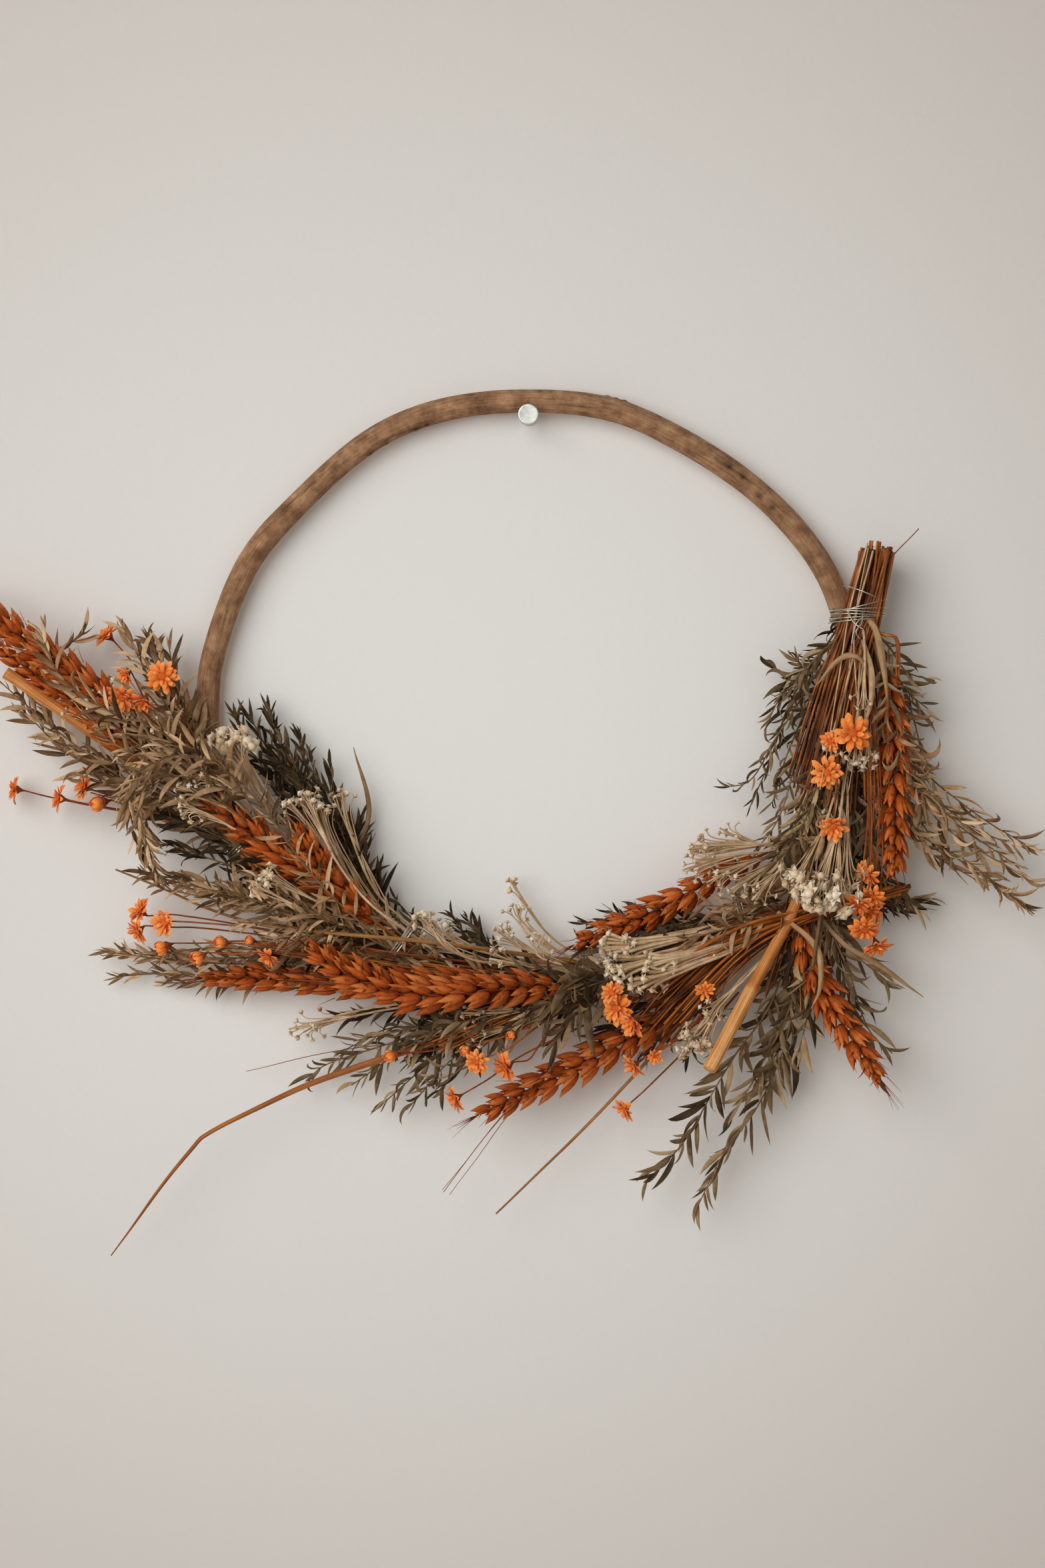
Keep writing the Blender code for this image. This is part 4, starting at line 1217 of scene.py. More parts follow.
# these leaves carry painted shade: they fill the shadowed inner side of the left bunch
sprays("innerDarkLeaves", [
    [leftTie, (-112, -228, 12), (-138, -190, 12), (-156, -157, 12)],
    [leftTie, (-108, -226, 8), (-132, -188, 8), (-148, -158, 9)],
    [leftTie, (-106, -222, 14), (-125, -186, 14), (-136, -157, 14)],
    [leftTie, (-100, -226, 8), (-114, -194, 9), (-121, -169, 10)],
    [leftTie, (-102, -226, 16), (-118, -196, 16), (-126, -175, 16)],
    [leftTie, (-96, -230, 10), (-109, -202, 10), (-115, -181, 12)],
    [leftTie, (-92, -236, 14), (-102, -206, 14), (-103, -184, 14)],
    [leftTie, (-86, -244, 8), (-92, -226, 8), (-88, -212, 8)],
    [leftTie, (-82, -254, 12), (-88, -238, 12), (-83, -224, 12)],
    [leftTie, (-78, -262, 8), (-84, -250, 8), (-80, -239, 8)],
], "darkLeaf", gap=2.9, length=(14, 24), lean=(0.25, 0.65))
sprays("shadedBandLeaves", [
    [(-110, -256, 10), (-140, -240, 12), (-170, -222, 12), (-198, -208, 12)],
    [(-110, -260, 12), (-140, -246, 14), (-168, -234, 14), (-194, -226, 14)],
    [(-110, -258, 16), (-142, -236, 18), (-168, -214, 18), (-190, -196, 18)],
    [(-112, -250, 18), (-140, -226, 20), (-160, -204, 20), (-176, -182, 20)],
    [(-112, -252, 8), (-145, -228, 8), (-168, -206, 8), (-182, -184, 8)],
], "darkLeaf", bare=0.05, gap=2.7, length=(14, 22), lean=(0.2, 0.6))
sprays("leftFrontLeaves", [
    [leftTie, (-110, -266, 28), (-150, -254, 30), (-182, -245, 28)],
    [leftTie, (-112, -268, 26), (-156, -258, 26), (-192, -250, 24)],
    [leftTie, (-112, -264, 24), (-158, -252, 24), (-202, -243, 22)],
    [leftTie, (-106, -268, 36), (-135, -258, 40), (-158, -250, 38)],
    [leftTie, (-104, -266, 40), (-128, -250, 44), (-146, -240, 42)],
    [leftTie, (-102, -272, 34), (-128, -268, 40), (-150, -266, 38)],
    [leftTie, (-96, -270, 36), (-114, -262, 42), (-128, -256, 42)],
    [leftTie, (-92, -276, 30), (-112, -274, 36), (-132, -276, 34)],
], gap=3.0, length=(14, 22), lean=(0.4, 1.0))
sprays("bottomInnerLeaves", [
    [bottomTie, (-10, -288, 14), (-30, -276, 14), (-41, -263, 14)],
    [bottomTie, (-8, -290, 10), (-24, -278, 10), (-34, -264, 10)],
    [bottomTie, (-30, -288, 10), (-55, -272, 10), (-70, -255, 10)],
    [bottomTie, (-34, -290, 14), (-62, -280, 14), (-84, -268, 12)],
    [bottomTie, (-26, -290, 18), (-50, -284, 18), (-72, -272, 18)],
], "darkLeaf", gap=3.0, length=(12, 20), lean=(0.3, 0.8))
sprays("bottomFanLeaves", [
    [(50, -292, 26), (26, -300, 34), (8, -310, 38), (-6, -322, 36)],
    [(50, -290, 26), (24, -296, 34), (2, -304, 38), (-18, -314, 36)],
    [(54, -294, 24), (34, -306, 32), (22, -318, 34), (12, -332, 32)],
    [(40, -292, 30), (16, -294, 38), (-4, -297, 42), (-20, -302, 40)],
    [(46, -296, 22), (20, -310, 26), (-6, -318, 28), (-30, -326, 26)],
], "dimLeaf", gap=3.2, length=(20, 31), lean=(0.2, 0.6), bare=0.1)
sprays("bottomLowLeaves", [
    [bottomTie, (-10, -318, 20), (-40, -340, 22), (-64, -366, 18)],
    [bottomTie, (-6, -318, 24), (-28, -336, 26), (-48, -358, 22)],
    [bottomTie, (-18, -318, 16), (-50, -340, 18), (-79, -365, 14)],
    [bottomTie, (-26, -318, 14), (-64, -334, 16), (-94, -354, 14)],
    [bottomTie, (-30, -316, 14), (-70, -330, 16), (-104, -342, 12), (-116, -352, 10)],
    [bottomTie, (-30, -314, 20), (-60, -322, 22), (-92, -330, 20)],
    [bottomTie, (-20, -316, 28), (-44, -326, 32), (-66, -334, 30)],
    [bottomTie, (-10, -312, 30), (-34, -318, 36), (-56, -326, 34)],
], "dimLeaf", gap=3.6, length=(14, 24), lean=(0.4, 1.1), curl=0.3)
sprays("bottomFarLeaves", [
    [(-60, -296, 12), (-120, -292, 12), (-175, -288, 14), (-223, -283, 14)],
    [(-60, -300, 14), (-120, -297, 12), (-170, -295, 12), (-218, -297, 10)],
    [(-60, -300, 10), (-110, -298, 10), (-155, -299, 10), (-192, -301, 8)],
    [(-60, -292, 16), (-115, -284, 18), (-160, -282, 18), (-196, -284, 18)],
], bare=0.3, gap=3.0, length=(12, 19), lean=(0.25, 0.7))
sprays("lowerInnerLeaves", [
    [lowerTie, (88, -270, 14), (62, -268, 14), (42, -262, 12)],
    [lowerTie, (90, -268, 10), (72, -266, 10), (58, -260, 10)],
    [lowerTie, (82, -272, 8), (52, -272, 8), (27, -268, 8)],
    [lowerTie, (94, -266, 20), (84, -268, 22), (72, -268, 20)],
    [lowerTie, (82, -276, 22), (54, -280, 22), (26, -282, 20)],
], "darkLeaf", gap=3.0, length=(13, 22), lean=(0.25, 0.7))
sprays("cornerHangingLeaves", [
    [cornerTie, (148, -262, 18), (138, -310, 20), (120, -345, 22), (104, -372, 22)],
    [cornerTie, (150, -265, 26), (148, -305, 30), (140, -335, 28)],
    [cornerTie, (158, -256, 20), (170, -282, 24), (188, -300, 26)],
    [cornerTie, (156, -262, 24), (170, -300, 26), (180, -326, 24), (190, -337, 22)],
    [cornerTie, (142, -262, 16), (128, -292, 18), (112, -312, 18)],
    [cornerTie, (150, -262, 14), (142, -308, 16), (128, -342, 18), (116, -360, 18)],
], "dimLeaf", gap=4.8, length=(18, 30), lean=(0.3, 0.8), bare=0.35)
sprays("rightInnerLeaves", [
    [rightTie, (152, -126, 14), (138, -140, 14), (126, -131, 14)],
    [rightTie, (156, -124, 18), (146, -134, 18), (136, -125, 16)],
    [rightTie, (150, -140, 16), (132, -168, 16), (118, -192, 14), (104, -196, 14)],
    [rightTie, (152, -142, 10), (138, -175, 10), (128, -205, 12)],
    [rightTie, (150, -132, 12), (134, -148, 12), (124, -168, 10)],
    [rightTie, (154, -145, 22), (142, -178, 24), (130, -214, 22), (118, -232, 20)],
    [rightTie, (152, -128, 22), (138, -144, 22), (128, -150, 20)],
], "dimLeaf", gap=3.7, length=(11, 20), lean=(0.4, 1.0), curl=0.4)
sprays("rightOuterLeaves", [
    [rightTie, (190, -150, 18), (204, -184, 20), (228, -206, 22), (262, -228, 22)],
    [rightTie, (190, -150, 26), (200, -190, 28), (222, -214, 28), (256, -240, 28)],
    [rightTie, (188, -150, 20), (194, -196, 24), (208, -228, 26), (236, -246, 24)],
    [rightTie, (186, -150, 24), (194, -200, 28), (206, -222, 30), (232, -238, 30), (262, -262, 28)],
    [rightTie, (190, -150, 22), (202, -196, 24), (222, -222, 24), (250, -238, 24), (264, -246, 22)],
    [rightTie, (188, -150, 28), (196, -186, 32), (212, -206, 32), (236, -220, 30)],
], bare=0.42, gap=4.3, length=(15, 27), lean=(0.3, 0.9), curl=0.35)
sprays("rightSideLeaves", [
    [rightTie, (188, -122, 26), (198, -136, 26), (213, -141, 24)],
    [rightTie, (188, -128, 22), (198, -146, 22), (209, -156, 20)],
    [rightTie, (190, -130, 16), (202, -158, 14), (208, -184, 14)],
    [rightTie, (184, -134, 34), (188, -152, 38), (184, -168, 40)],
], "dimLeaf", gap=4.0, length=(13, 22), lean=(0.5, 1.1), bare=0.4)
sprays("rightMiddleLeaves", [
    [rightTie, (166, -150, 24), (156, -190, 30), (144, -226, 32), (134, -256, 30)],
    [rightTie, (168, -150, 20), (160, -196, 26), (154, -240, 30)],
    [rightTie, (164, -150, 30), (152, -192, 36), (140, -222, 38), (124, -242, 36)],
    [rightTie, (170, -150, 18), (170, -200, 22), (170, -244, 24)],
    [rightTie, (174, -150, 24), (178, -200, 28), (184, -240, 26), (206, -262, 22)],
    [rightTie, (172, -150, 14), (176, -200, 14), (190, -250, 14), (210, -256, 12)],
    [rightTie, (160, -160, 24), (146, -200, 28), (130, -230, 30), (110, -250, 28)],
], "dimLeaf", bare=0.45, gap=3.0, length=(14, 24), lean=(0.2, 0.7))
sprays("rightShadedLeaves", [
    [cornerTie, (166, -236, 12), (186, -252, 12), (206, -262, 12)],
    [cornerTie, (162, -236, 10), (178, -256, 10), (196, -262, 10)],
    [(160, -180, 10), (162, -210, 10), (170, -240, 10), (172, -262, 10)],
    [(168, -180, 14), (174, -215, 14), (180, -245, 14), (186, -262, 14)],
    [(150, -190, 8), (142, -215, 8), (134, -235, 8), (128, -252, 8)],
], "darkLeaf", bare=0.1, gap=2.8, length=(14, 22), lean=(0.25, 0.7))
# wide folded leaves: half width, tone and route
broadRoutes = [
    (2.1, 0.95, [(-165, -196, 30), (-205, -165, 36), (-237, -149, 36), (-262, -127, 34), (-279, -123, 30)]),
    (1.7, 0.9, [(-222, -146, 34), (-246, -128, 34), (-258, -122, 32), (-267, -124, 32), (-271, -109, 30)]),
    (2.4, 0.55, [(176, -108, 32), (180, -116, 42), (184, -134, 46), (186, -152, 44)]),
    (1.8, 0.6, [(178, -140, 36), (173, -131, 42), (166, -129, 42), (158, -134, 38), (150, -144, 32)]),
    (2.0, 0.7, [(174, -120, 34), (178, -136, 42), (178, -152, 44), (174, -166, 42)]),
    (1.7, 0.35, [(-95, -240, 12), (-84, -210, 12), (-92, -176, 10)]),
    (2.2, 0.6, [(130, -262, 30), (150, -280, 40), (152, -300, 42), (147, -312, 40)]),
    (2.0, 0.5, [(150, -262, 30), (166, -280, 34), (184, -290, 34), (206, -306, 30)]),
]
broadLeaves = [ribbon(routed(route, 1.0, wide), np.array([0.6, 1, 1, 0.7, 0.2 / wide]) * wide, 0.6, 0.25, 0.5,
                      0.3, tone) for wide, tone, route in broadRoutes]
addPiece("broadLeaves", broadLeaves, [finishes["leaf"]], ())
sprays("tieCoverLeaves", [
    [(-40, -290, 26), (-66, -282, 34), (-96, -268, 38)],
    [(-44, -286, 24), (-66, -274, 30), (-88, -254, 34)],
    [(-46, -292, 26), (-72, -288, 34), (-100, -282, 36)],
    [(50, -298, 24), (28, -296, 36), (2, -292, 40)],
    [(46, -302, 24), (24, -306, 34), (-2, -312, 38)],
    [(138, -262, 24), (112, -268, 34), (84, -276, 38)],
    [(138, -258, 20), (112, -258, 28), (88, -258, 30)],
    [(166, -196, 24), (154, -222, 36), (142, -246, 40)],
    [(162, -192, 24), (146, -212, 32), (130, -230, 34)],
], bare=0.05, gap=3.2, length=(13, 21))
sprays("shadedLowerLeaves", [
    [lowerTie, (84, -284, 16), (50, -300, 16), (14, -316, 16)],
    [lowerTie, (86, -290, 14), (62, -312, 14), (34, -330, 14)],
    [lowerTie, (90, -296, 16), (76, -320, 16), (60, -338, 14)],
    [lowerTie, (96, -290, 20), (90, -314, 20), (84, -336, 18)],
    [bottomTie, (-20, -306, 12), (-60, -312, 12), (-96, -318, 12)],
    [bottomTie, (-16, -312, 12), (-40, -326, 12), (-62, -340, 12)],
    [bottomTie, (-30, -296, 12), (-80, -292, 12), (-130, -286, 12)],
], "darkLeaf", bare=0.15, gap=2.9, length=(15, 24), lean=(0.25, 0.8))
print("leafy stems added")

sprigs("farLeftCream", [
    (9, 1.9, [farLeftTie, (-185, -188, 28), (-208, -162, 36), (-228, -148, 36)]),
    (6, 1.9, [farLeftTie, (-192, -190, 26), (-220, -168, 32), (-240, -153, 32)]),
    (6, 1.8, [farLeftTie, (-178, -180, 26), (-200, -152, 32), (-218, -138, 32)]),
    (5, 2.0, [farLeftTie, (-172, -190, 28), (-184, -172, 34), (-196, -162, 36)]),
])
sprigs("leftCream", [
    (9, 4.7, [(-85, -255, 22), (-125, -218, 28), (-146, -190, 34), (-149, -172, 38)]),
    (6, 4.2, [(-88, -254, 20), (-128, -216, 26), (-150, -190, 30), (-163, -170, 32)]),
    (1, 2.4, [(-90, -255, 26), (-135, -214, 34), (-156, -196, 42), (-166, -191, 44)]),
    (4, 2.2, [(-90, -250, 22), (-130, -208, 26), (-150, -180, 28), (-174, -176, 30)]),
])
sprigs("leftFuzz", [
    (10, 1.7, [(-105, -250, 24), (-146, -216, 34), (-170, -200, 44), (-182, -197, 46)]),
    (9, 1.7, [(-105, -252, 24), (-148, -222, 36), (-172, -208, 44), (-180, -211, 46)]),
    (8, 1.6, [(-105, -248, 24), (-144, -212, 34), (-164, -194, 42), (-174, -192, 44)]),
], spread=(9, 5, 7), branch=(10, 30))
sprigs("innerCream", [
    (7, 2.6, [(-45, -286, 18), (-85, -254, 26), (-103, -224, 32), (-107, -206, 32)]),
    (6, 2.5, [(-45, -284, 18), (-80, -252, 22), (-94, -218, 26), (-97, -198, 26)]),
    (7, 2.4, [(-50, -285, 20), (-92, -246, 28), (-114, -216, 34), (-125, -204, 34)]),
    (5, 2.4, [(-50, -287, 18), (-86, -258, 22), (-104, -226, 28), (-116, -203, 28)]),
], branch=(25, 70), spread=(7, 5, 6))
sprigs("crumpledCream", [
    (8, 2.9, [leftTie, (-108, -258, 40), (-124, -248, 48), (-137, -242, 52)]),
    (4, 2.4, [leftTie, (-112, -262, 40), (-132, -252, 48), (-143, -246, 50)]),
    (4, 2.4, [bottomTie, (-40, -284, 20), (-75, -276, 22), (-95, -267, 22)]),
])
sprigs("bottomCream", [
    (9, 2.6, [bottomTie, (-15, -286, 20), (-40, -276, 22), (-50, -266, 22)]),
    (6, 2.4, [bottomTie, (-18, -288, 24), (-44, -282, 28), (-57, -275, 28)]),
    (9, 2.0, [(40, -296, 20), (14, -288, 22), (-6, -280, 24), (-17, -270, 24)]),
    (8, 1.9, [(44, -294, 18), (18, -284, 18), (-2, -272, 18), (-7, -258, 18)]),
    (6, 1.9, [(44, -296, 22), (20, -290, 26), (4, -284, 28), (8, -273, 28)]),
    (7, 2.0, [(40, -296, 24), (10, -292, 30), (-8, -288, 34), (-20, -286, 34)]),
], spread=(9, 6, 9))
sprigs("bottomLowCream", [
    (9, 1.9, [(40, -300, 26), (10, -310, 34), (-18, -314, 38), (-35, -314, 40)]),
    (9, 1.9, [(40, -302, 24), (10, -316, 30), (-16, -324, 34), (-35, -324, 34)]),
    (7, 2.0, [(-20, -306, 14), (-70, -313, 16), (-105, -320, 18), (-126, -324, 18)]),
    (5, 1.8, [(-20, -306, 12), (-70, -311, 14), (-100, -317, 14), (-118, -326, 14)]),
], spread=(9, 5, 12), branch=(14, 45))
sprigs("lowerBrushCream", [
    (12, 2.9, [(165, -256, 20), (120, -266, 24), (80, -276, 34), (38, -281, 38)]),
    (12, 2.9, [(165, -258, 20), (120, -270, 26), (82, -282, 38), (40, -292, 44)]),
    (12, 2.9, [(165, -260, 22), (125, -274, 28), (90, -288, 40), (53, -299, 46)]),
    (11, 2.9, [(165, -255, 18), (122, -264, 22), (85, -272, 30), (48, -284, 36)]),
    (9, 1.9, [(165, -258, 20), (130, -270, 26), (100, -280, 36), (60, -289, 44)]),
    (6, 1.8, [(165, -258, 20), (130, -268, 24), (108, -276, 30), (90, -284, 36)]),
], spread=(8, 6, 16), branch=(40, 90), twig=(0.7, 1.0), stalk=(0.9, 0.9))
sprigs("lowerEndCream", [
    (10, 2.6, [(130, -280, 30), (108, -300, 36), (94, -320, 42), (88, -334, 44)]),
    (8, 2.3, [(130, -282, 28), (104, -304, 34), (88, -322, 40), (78, -338, 40)]),
    (7, 2.3, [(130, -278, 32), (112, -296, 38), (98, -308, 42), (92, -318, 42)]),
], spread=(9, 6, 10))
sprigs("cornerCream", [
    (12, 1.8, [cornerTie, (128, -226, 26), (104, -226, 30), (84, -229, 30)]),
    (12, 1.8, [cornerTie, (126, -230, 28), (100, -234, 34), (80, -240, 34)]),
    (11, 1.8, [cornerTie, (130, -232, 24), (110, -238, 30), (92, -247, 32)]),
    (10, 1.8, [cornerTie, (134, -234, 28), (118, -242, 36), (104, -252, 38)]),
    (8, 1.7, [cornerTie, (134, -228, 22), (116, -226, 24), (100, -218, 24)]),
    (8, 1.8, [cornerTie, (140, -232, 30), (130, -240, 38), (116, -256, 40)]),
    (6, 1.8, [rightTie, (158, -160, 26), (148, -195, 32), (140, -217, 34)]),
], spread=(10, 6, 12), branch=(14, 44), twig=(0.5, 0.32))
sprigs("rightClusterCream", [
    (12, 4.5, [(165, -190, 30), (160, -220, 40), (152, -246, 48), (144, -258, 50)]),
    (10, 4.3, [(165, -190, 30), (162, -220, 40), (160, -246, 46), (160, -262, 48)]),
    (8, 4.0, [(166, -190, 28), (166, -220, 36), (166, -240, 42), (168, -250, 42)]),
    (9, 4.1, [(164, -190, 30), (154, -218, 38), (142, -240, 44), (135, -250, 44)]),
], spread=(12, 7, 12), branch=(20, 55))
sprigs("rightTopCream", [
    (6, 2.5, [rightTie, (172, -140, 38), (170, -165, 44), (168, -184, 44)]),
    (5, 2.6, [rightTie, (174, -140, 36), (176, -168, 40), (177, -186, 40)]),
    (3, 2.6, [rightTie, (166, -140, 36), (160, -165, 40), (157, -181, 40)]),
    (5, 2.0, [rightTie, (174, -122, 38), (174, -140, 42), (174, -156, 42)]),
], spread=(7, 5, 6))
print("cream heads added")

stars("farLeftStars", [
    ((-0.8, 0.5, 0.4), "bud", 0.85, [(-160, -205, 22), (-195, -160, 26), (-215, -147, 28), (-237, -131, 28)]),
    ((-0.6, -0.4, 0.7), "half", 0.72, [(-165, -200, 26), (-190, -165, 32), (-209, -138, 36)]),
    ((-0.4, -0.6, 0.8), "open", 1.15, [(-165, -200, 28), (-188, -170, 36), (-210, -150, 44)]),
    ((-0.3, -0.9, 0.5), "half", 0.95, [(-163, -200, 28), (-182, -168, 38), (-199, -152, 44)]),
])
stars("rowStars", [
    ((-1, 0.15, 0.2), "open", 0.95, [(-172, -214, 14), (-212, -209, 16), (-236, -205, 18), (-246, -203, 18)]),
    ((-0.9, 0.3, 0.5), "open", 1.0, [(-172, -214, 16), (-205, -206, 18), (-233, -197, 20)]),
    ((-0.8, -0.2, 0.5), "bud", 1.15, [(-172, -214, 18), (-205, -208, 22), (-223, -205, 24)]),
])
stars("bottomFarStars", [
    ((-0.7, -0.6, 0.4), "open", 0.95,
     [(-80, -284, 20), (-140, -274, 22), (-180, -270, 24), (-204, -272, 24)]),
    ((-0.5, -0.1, 0.9), "half", 1.05,
     [(-80, -284, 22), (-140, -271, 24), (-175, -267, 28), (-189, -267, 30)]),
    ((-0.9, -0.3, 0.4), "bud", 1.0, [(-80, -288, 20), (-140, -278, 22), (-190, -280, 24)]),
    ((-0.7, -0.4, 0.7), "bud", 1.0, [(-80, -288, 22), (-130, -283, 26), (-171, -285, 30)]),
    ((-0.8, 0.1, 0.6), "bud", 0.95, [(-80, -288, 24), (-130, -280, 28), (-159, -278, 30)]),
    ((-0.6, -0.7, 0.5), "open", 0.85, [(-80, -290, 26), (-115, -284, 30), (-136, -285, 32)]),
    ((-0.8, 0.2, 0.6), "bud", 0.7, [(-80, -288, 24), (-120, -280, 28), (-144, -277, 28)]),
])
stars("bottomStars", [
    ((-0.3, -0.2, 0.9), "open", 0.85, [(40, -304, 26), (10, -318, 34), (-10, -332, 42), (-27, -339, 44)]),
    ((-0.75, -0.5, 0.5), "open", 1.1, [(40, -306, 26), (12, -323, 32), (0, -338, 40), (-12, -342, 42)]),
    ((-0.9, -0.5, 0.3), "open", 0.95, [(60, -306, 26), (0, -335, 32), (-20, -348, 36), (-38, -359, 36)]),
    ((-0.4, -0.4, 0.8), "bud", 0.7, [(40, -302, 26), (16, -314, 32), (-8, -325, 36)]),
    ((-0.6, -0.3, 0.7), "bud", 0.8, [(40, -302, 26), (0, -322, 34), (-32, -333, 38)]),
])
stars("lowerStars", [
    ((-0.5, 0.5, 0.8), "open", 0.85, [(95, -284, 34), (66, -296, 42), (43, -303, 48)]),
    ((-0.7, -0.4, 0.6), "half", 1.1, [(95, -284, 34), (72, -300, 44), (54, -318, 50)]),
    ((-0.1, 0.6, 0.8), "open", 0.7, [(115, -285, 36), (102, -295, 42), (91, -302, 46)]),
    ((-0.7, -0.6, 0.4), "open", 0.95, [(110, -300, 30), (82, -324, 36), (64, -335, 40), (55, -341, 40)]),
    ((-0.7, -0.6, 0.3), "open", 0.95, [(110, -304, 26), (82, -334, 30), (60, -355, 32), (50, -364, 32)]),
    ((-0.2, -0.4, 0.9), "half", 0.6, [(100, -300, 32), (84, -322, 40), (66, -336, 44)]),
])
stars("rightStars", [
    ((-0.5, -0.2, 0.8), "open", 0.75, [rightTie, (165, -140, 36), (160, -160, 42), (157, -173, 42)]),
    ((-0.1, -0.4, 0.9), "half", 1.05, [rightTie, (164, -150, 32), (160, -190, 42), (158, -217, 48)]),
    ((-0.7, -0.5, 0.5), "open", 1.0, [rightTie, (178, -150, 34), (180, -200, 40), (176, -242, 44)]),
    ((-0.2, -0.6, 0.8), "open", 0.95, [rightTie, (176, -150, 34), (176, -210, 42), (171, -257, 46)]),
    ((-0.4, -0.5, 0.8), "open", 0.9, [rightTie, (178, -150, 36), (182, -210, 42), (179, -254, 44)]),
    ((0.0, -0.7, 0.7), "open", 1.05, [rightTie, (176, -150, 36), (178, -220, 44), (174, -270, 48)]),
    ((0.3, -0.9, 0.4), "open", 1.05, [rightTie, (180, -150, 34), (184, -220, 40), (181, -279, 42)]),
])
print("star flowers added")

stems("rushStems", "brownStem", [
    (34, 1.6, (8, 12), [(182, -73, 28), (174, -107, 27), (159, -145, 29), (144, -196, 32)]),
    (30, 1.5, (8, 14), [(183, -73, 24), (174, -107, 24), (162, -148, 26), (150, -205, 28)]),
    (20, 1.5, (8, 14), [(183, -73, 22), (175, -107, 22), (168, -150, 24), (162, -210, 26)]),
    (14, 1.4, (8, 16), [(184, -73, 20), (175, -107, 20), (176, -150, 22), (178, -214, 24)]),
    (1, 0.9, (1, 1), [(172, -112, 30), (186, -82, 30), (204, -62, 30)]),
], ["rush_bundle_right"])
stems("rightPaleStems", "paleStem", [
    (4, 1.0, (8, 10), [(182, -72, 28), (174, -107, 29), (168, -150, 34), (160, -200, 38)]),
    (1, 1.4, (6, 5), [(184, -73, 28), (175, -107, 31), (173, -125, 36), (174, -150, 40)]),
])
stems("rightOrangeStems", "wheatStalk", [
    (6, 1.7, (4, 5), [(180, -69, 30), (175, -107, 24), (169, -130, 30), (166, -165, 34)]),
    (2, 2.0, (3, 2), [(176, -108, 30), (180, -117, 38), (189, -120, 38), (190, -140, 40)]),
    (3, 2.0, (9, 10), [(184, -71, 20), (175, -107, 22), (182, -150, 30), (184, -200, 32)]),
])
stems("cornerStems", "brownStem", [
    (8, 1.6, (7, 12), [(166, -192, 18), (155, -220, 20), (144, -256, 26), (130, -300, 28)]),
    (6, 1.2, (6, 14), [(166, -192, 20), (155, -220, 22), (148, -262, 26), (150, -310, 26)]),
])
stems("cornerGreyStems", "leafStem", [
    (3, 3.2, (6, 8), [(164, -196, 24), (154, -222, 28), (148, -262, 36), (144, -290, 38)]),
])
stems("lowerStems", "brownStem", [
    (30, 1.6, (9, 14), [(192, -249, 22), (150, -260, 22), (112, -270, 26), (52, -296, 30)]),
    (26, 1.6, (9, 12), [(190, -251, 20), (150, -262, 22), (112, -276, 26), (66, -310, 30)]),
    (20, 1.5, (8, 12), [(192, -250, 20), (150, -262, 22), (108, -284, 26), (70, -326, 28)]),
])
stems("bottomStems", "brownStem", [
    (16, 1.4, (8, 16), [(50, -300, 20), (0, -298, 24), (-70, -288, 26), (-135, -276, 26)]),
    (8, 1.3, (8, 12), [(50, -300, 18), (0, -300, 20), (-80, -300, 20), (-130, -298, 18)]),
    (8, 1.2, (8, 12), [(50, -302, 22), (10, -306, 26), (-30, -322, 28), (-56, -334, 28)]),
])
stems("leftStems", "leafStem", [
    (10, 1.4, (8, 16), [(-44, -292, 20), (-70, -279, 22), (-110, -250, 28), (-140, -222, 30)]),
    (6, 1.2, (8, 12), [(-44, -292, 18), (-70, -279, 20), (-95, -248, 18), (-112, -212, 16)]),
])
stems("farLeftStems", "leafStem", [
    (9, 1.5, (8, 14), [(-130, -246, 16), (-150, -224, 20), (-180, -190, 26), (-208, -162, 28)]),
    (6, 1.2, (8, 14), [(-130, -246, 16), (-150, -224, 18), (-188, -206, 18), (-220, -196, 18)]),
])
stems("lowerStrawStems", "wheatStalk", [
    (22, 1.8, (9, 14), [(190, -251, 22), (150, -262, 24), (112, -272, 30), (60, -300, 34)]),
    (18, 1.8, (9, 14), [(190, -251, 22), (150, -262, 24), (108, -282, 30), (72, -318, 32)]),
])
stems("bottomStrawStems", "wheatStalk", [
    (16, 1.8, (8, 12), [(50, -300, 22), (10, -299, 28), (-60, -290, 32), (-118, -278, 32)]),
    (14, 1.7, (8, 14), [(56, -298, 20), (20, -304, 26), (-20, -318, 32), (-50, -330, 34)]),
])
stems("hangingAwns", "flowerStem", [
    (3, 0.7, (2, 3), [(10, -348, 34), (-10, -366, 34), (-30, -392, 32), (-43, -409, 30)]),
    (1, 0.6, (1, 1), [(-30, -330, 12), (-90, -334, 10), (-150, -347, 8)]),
])
print("loose stems added")


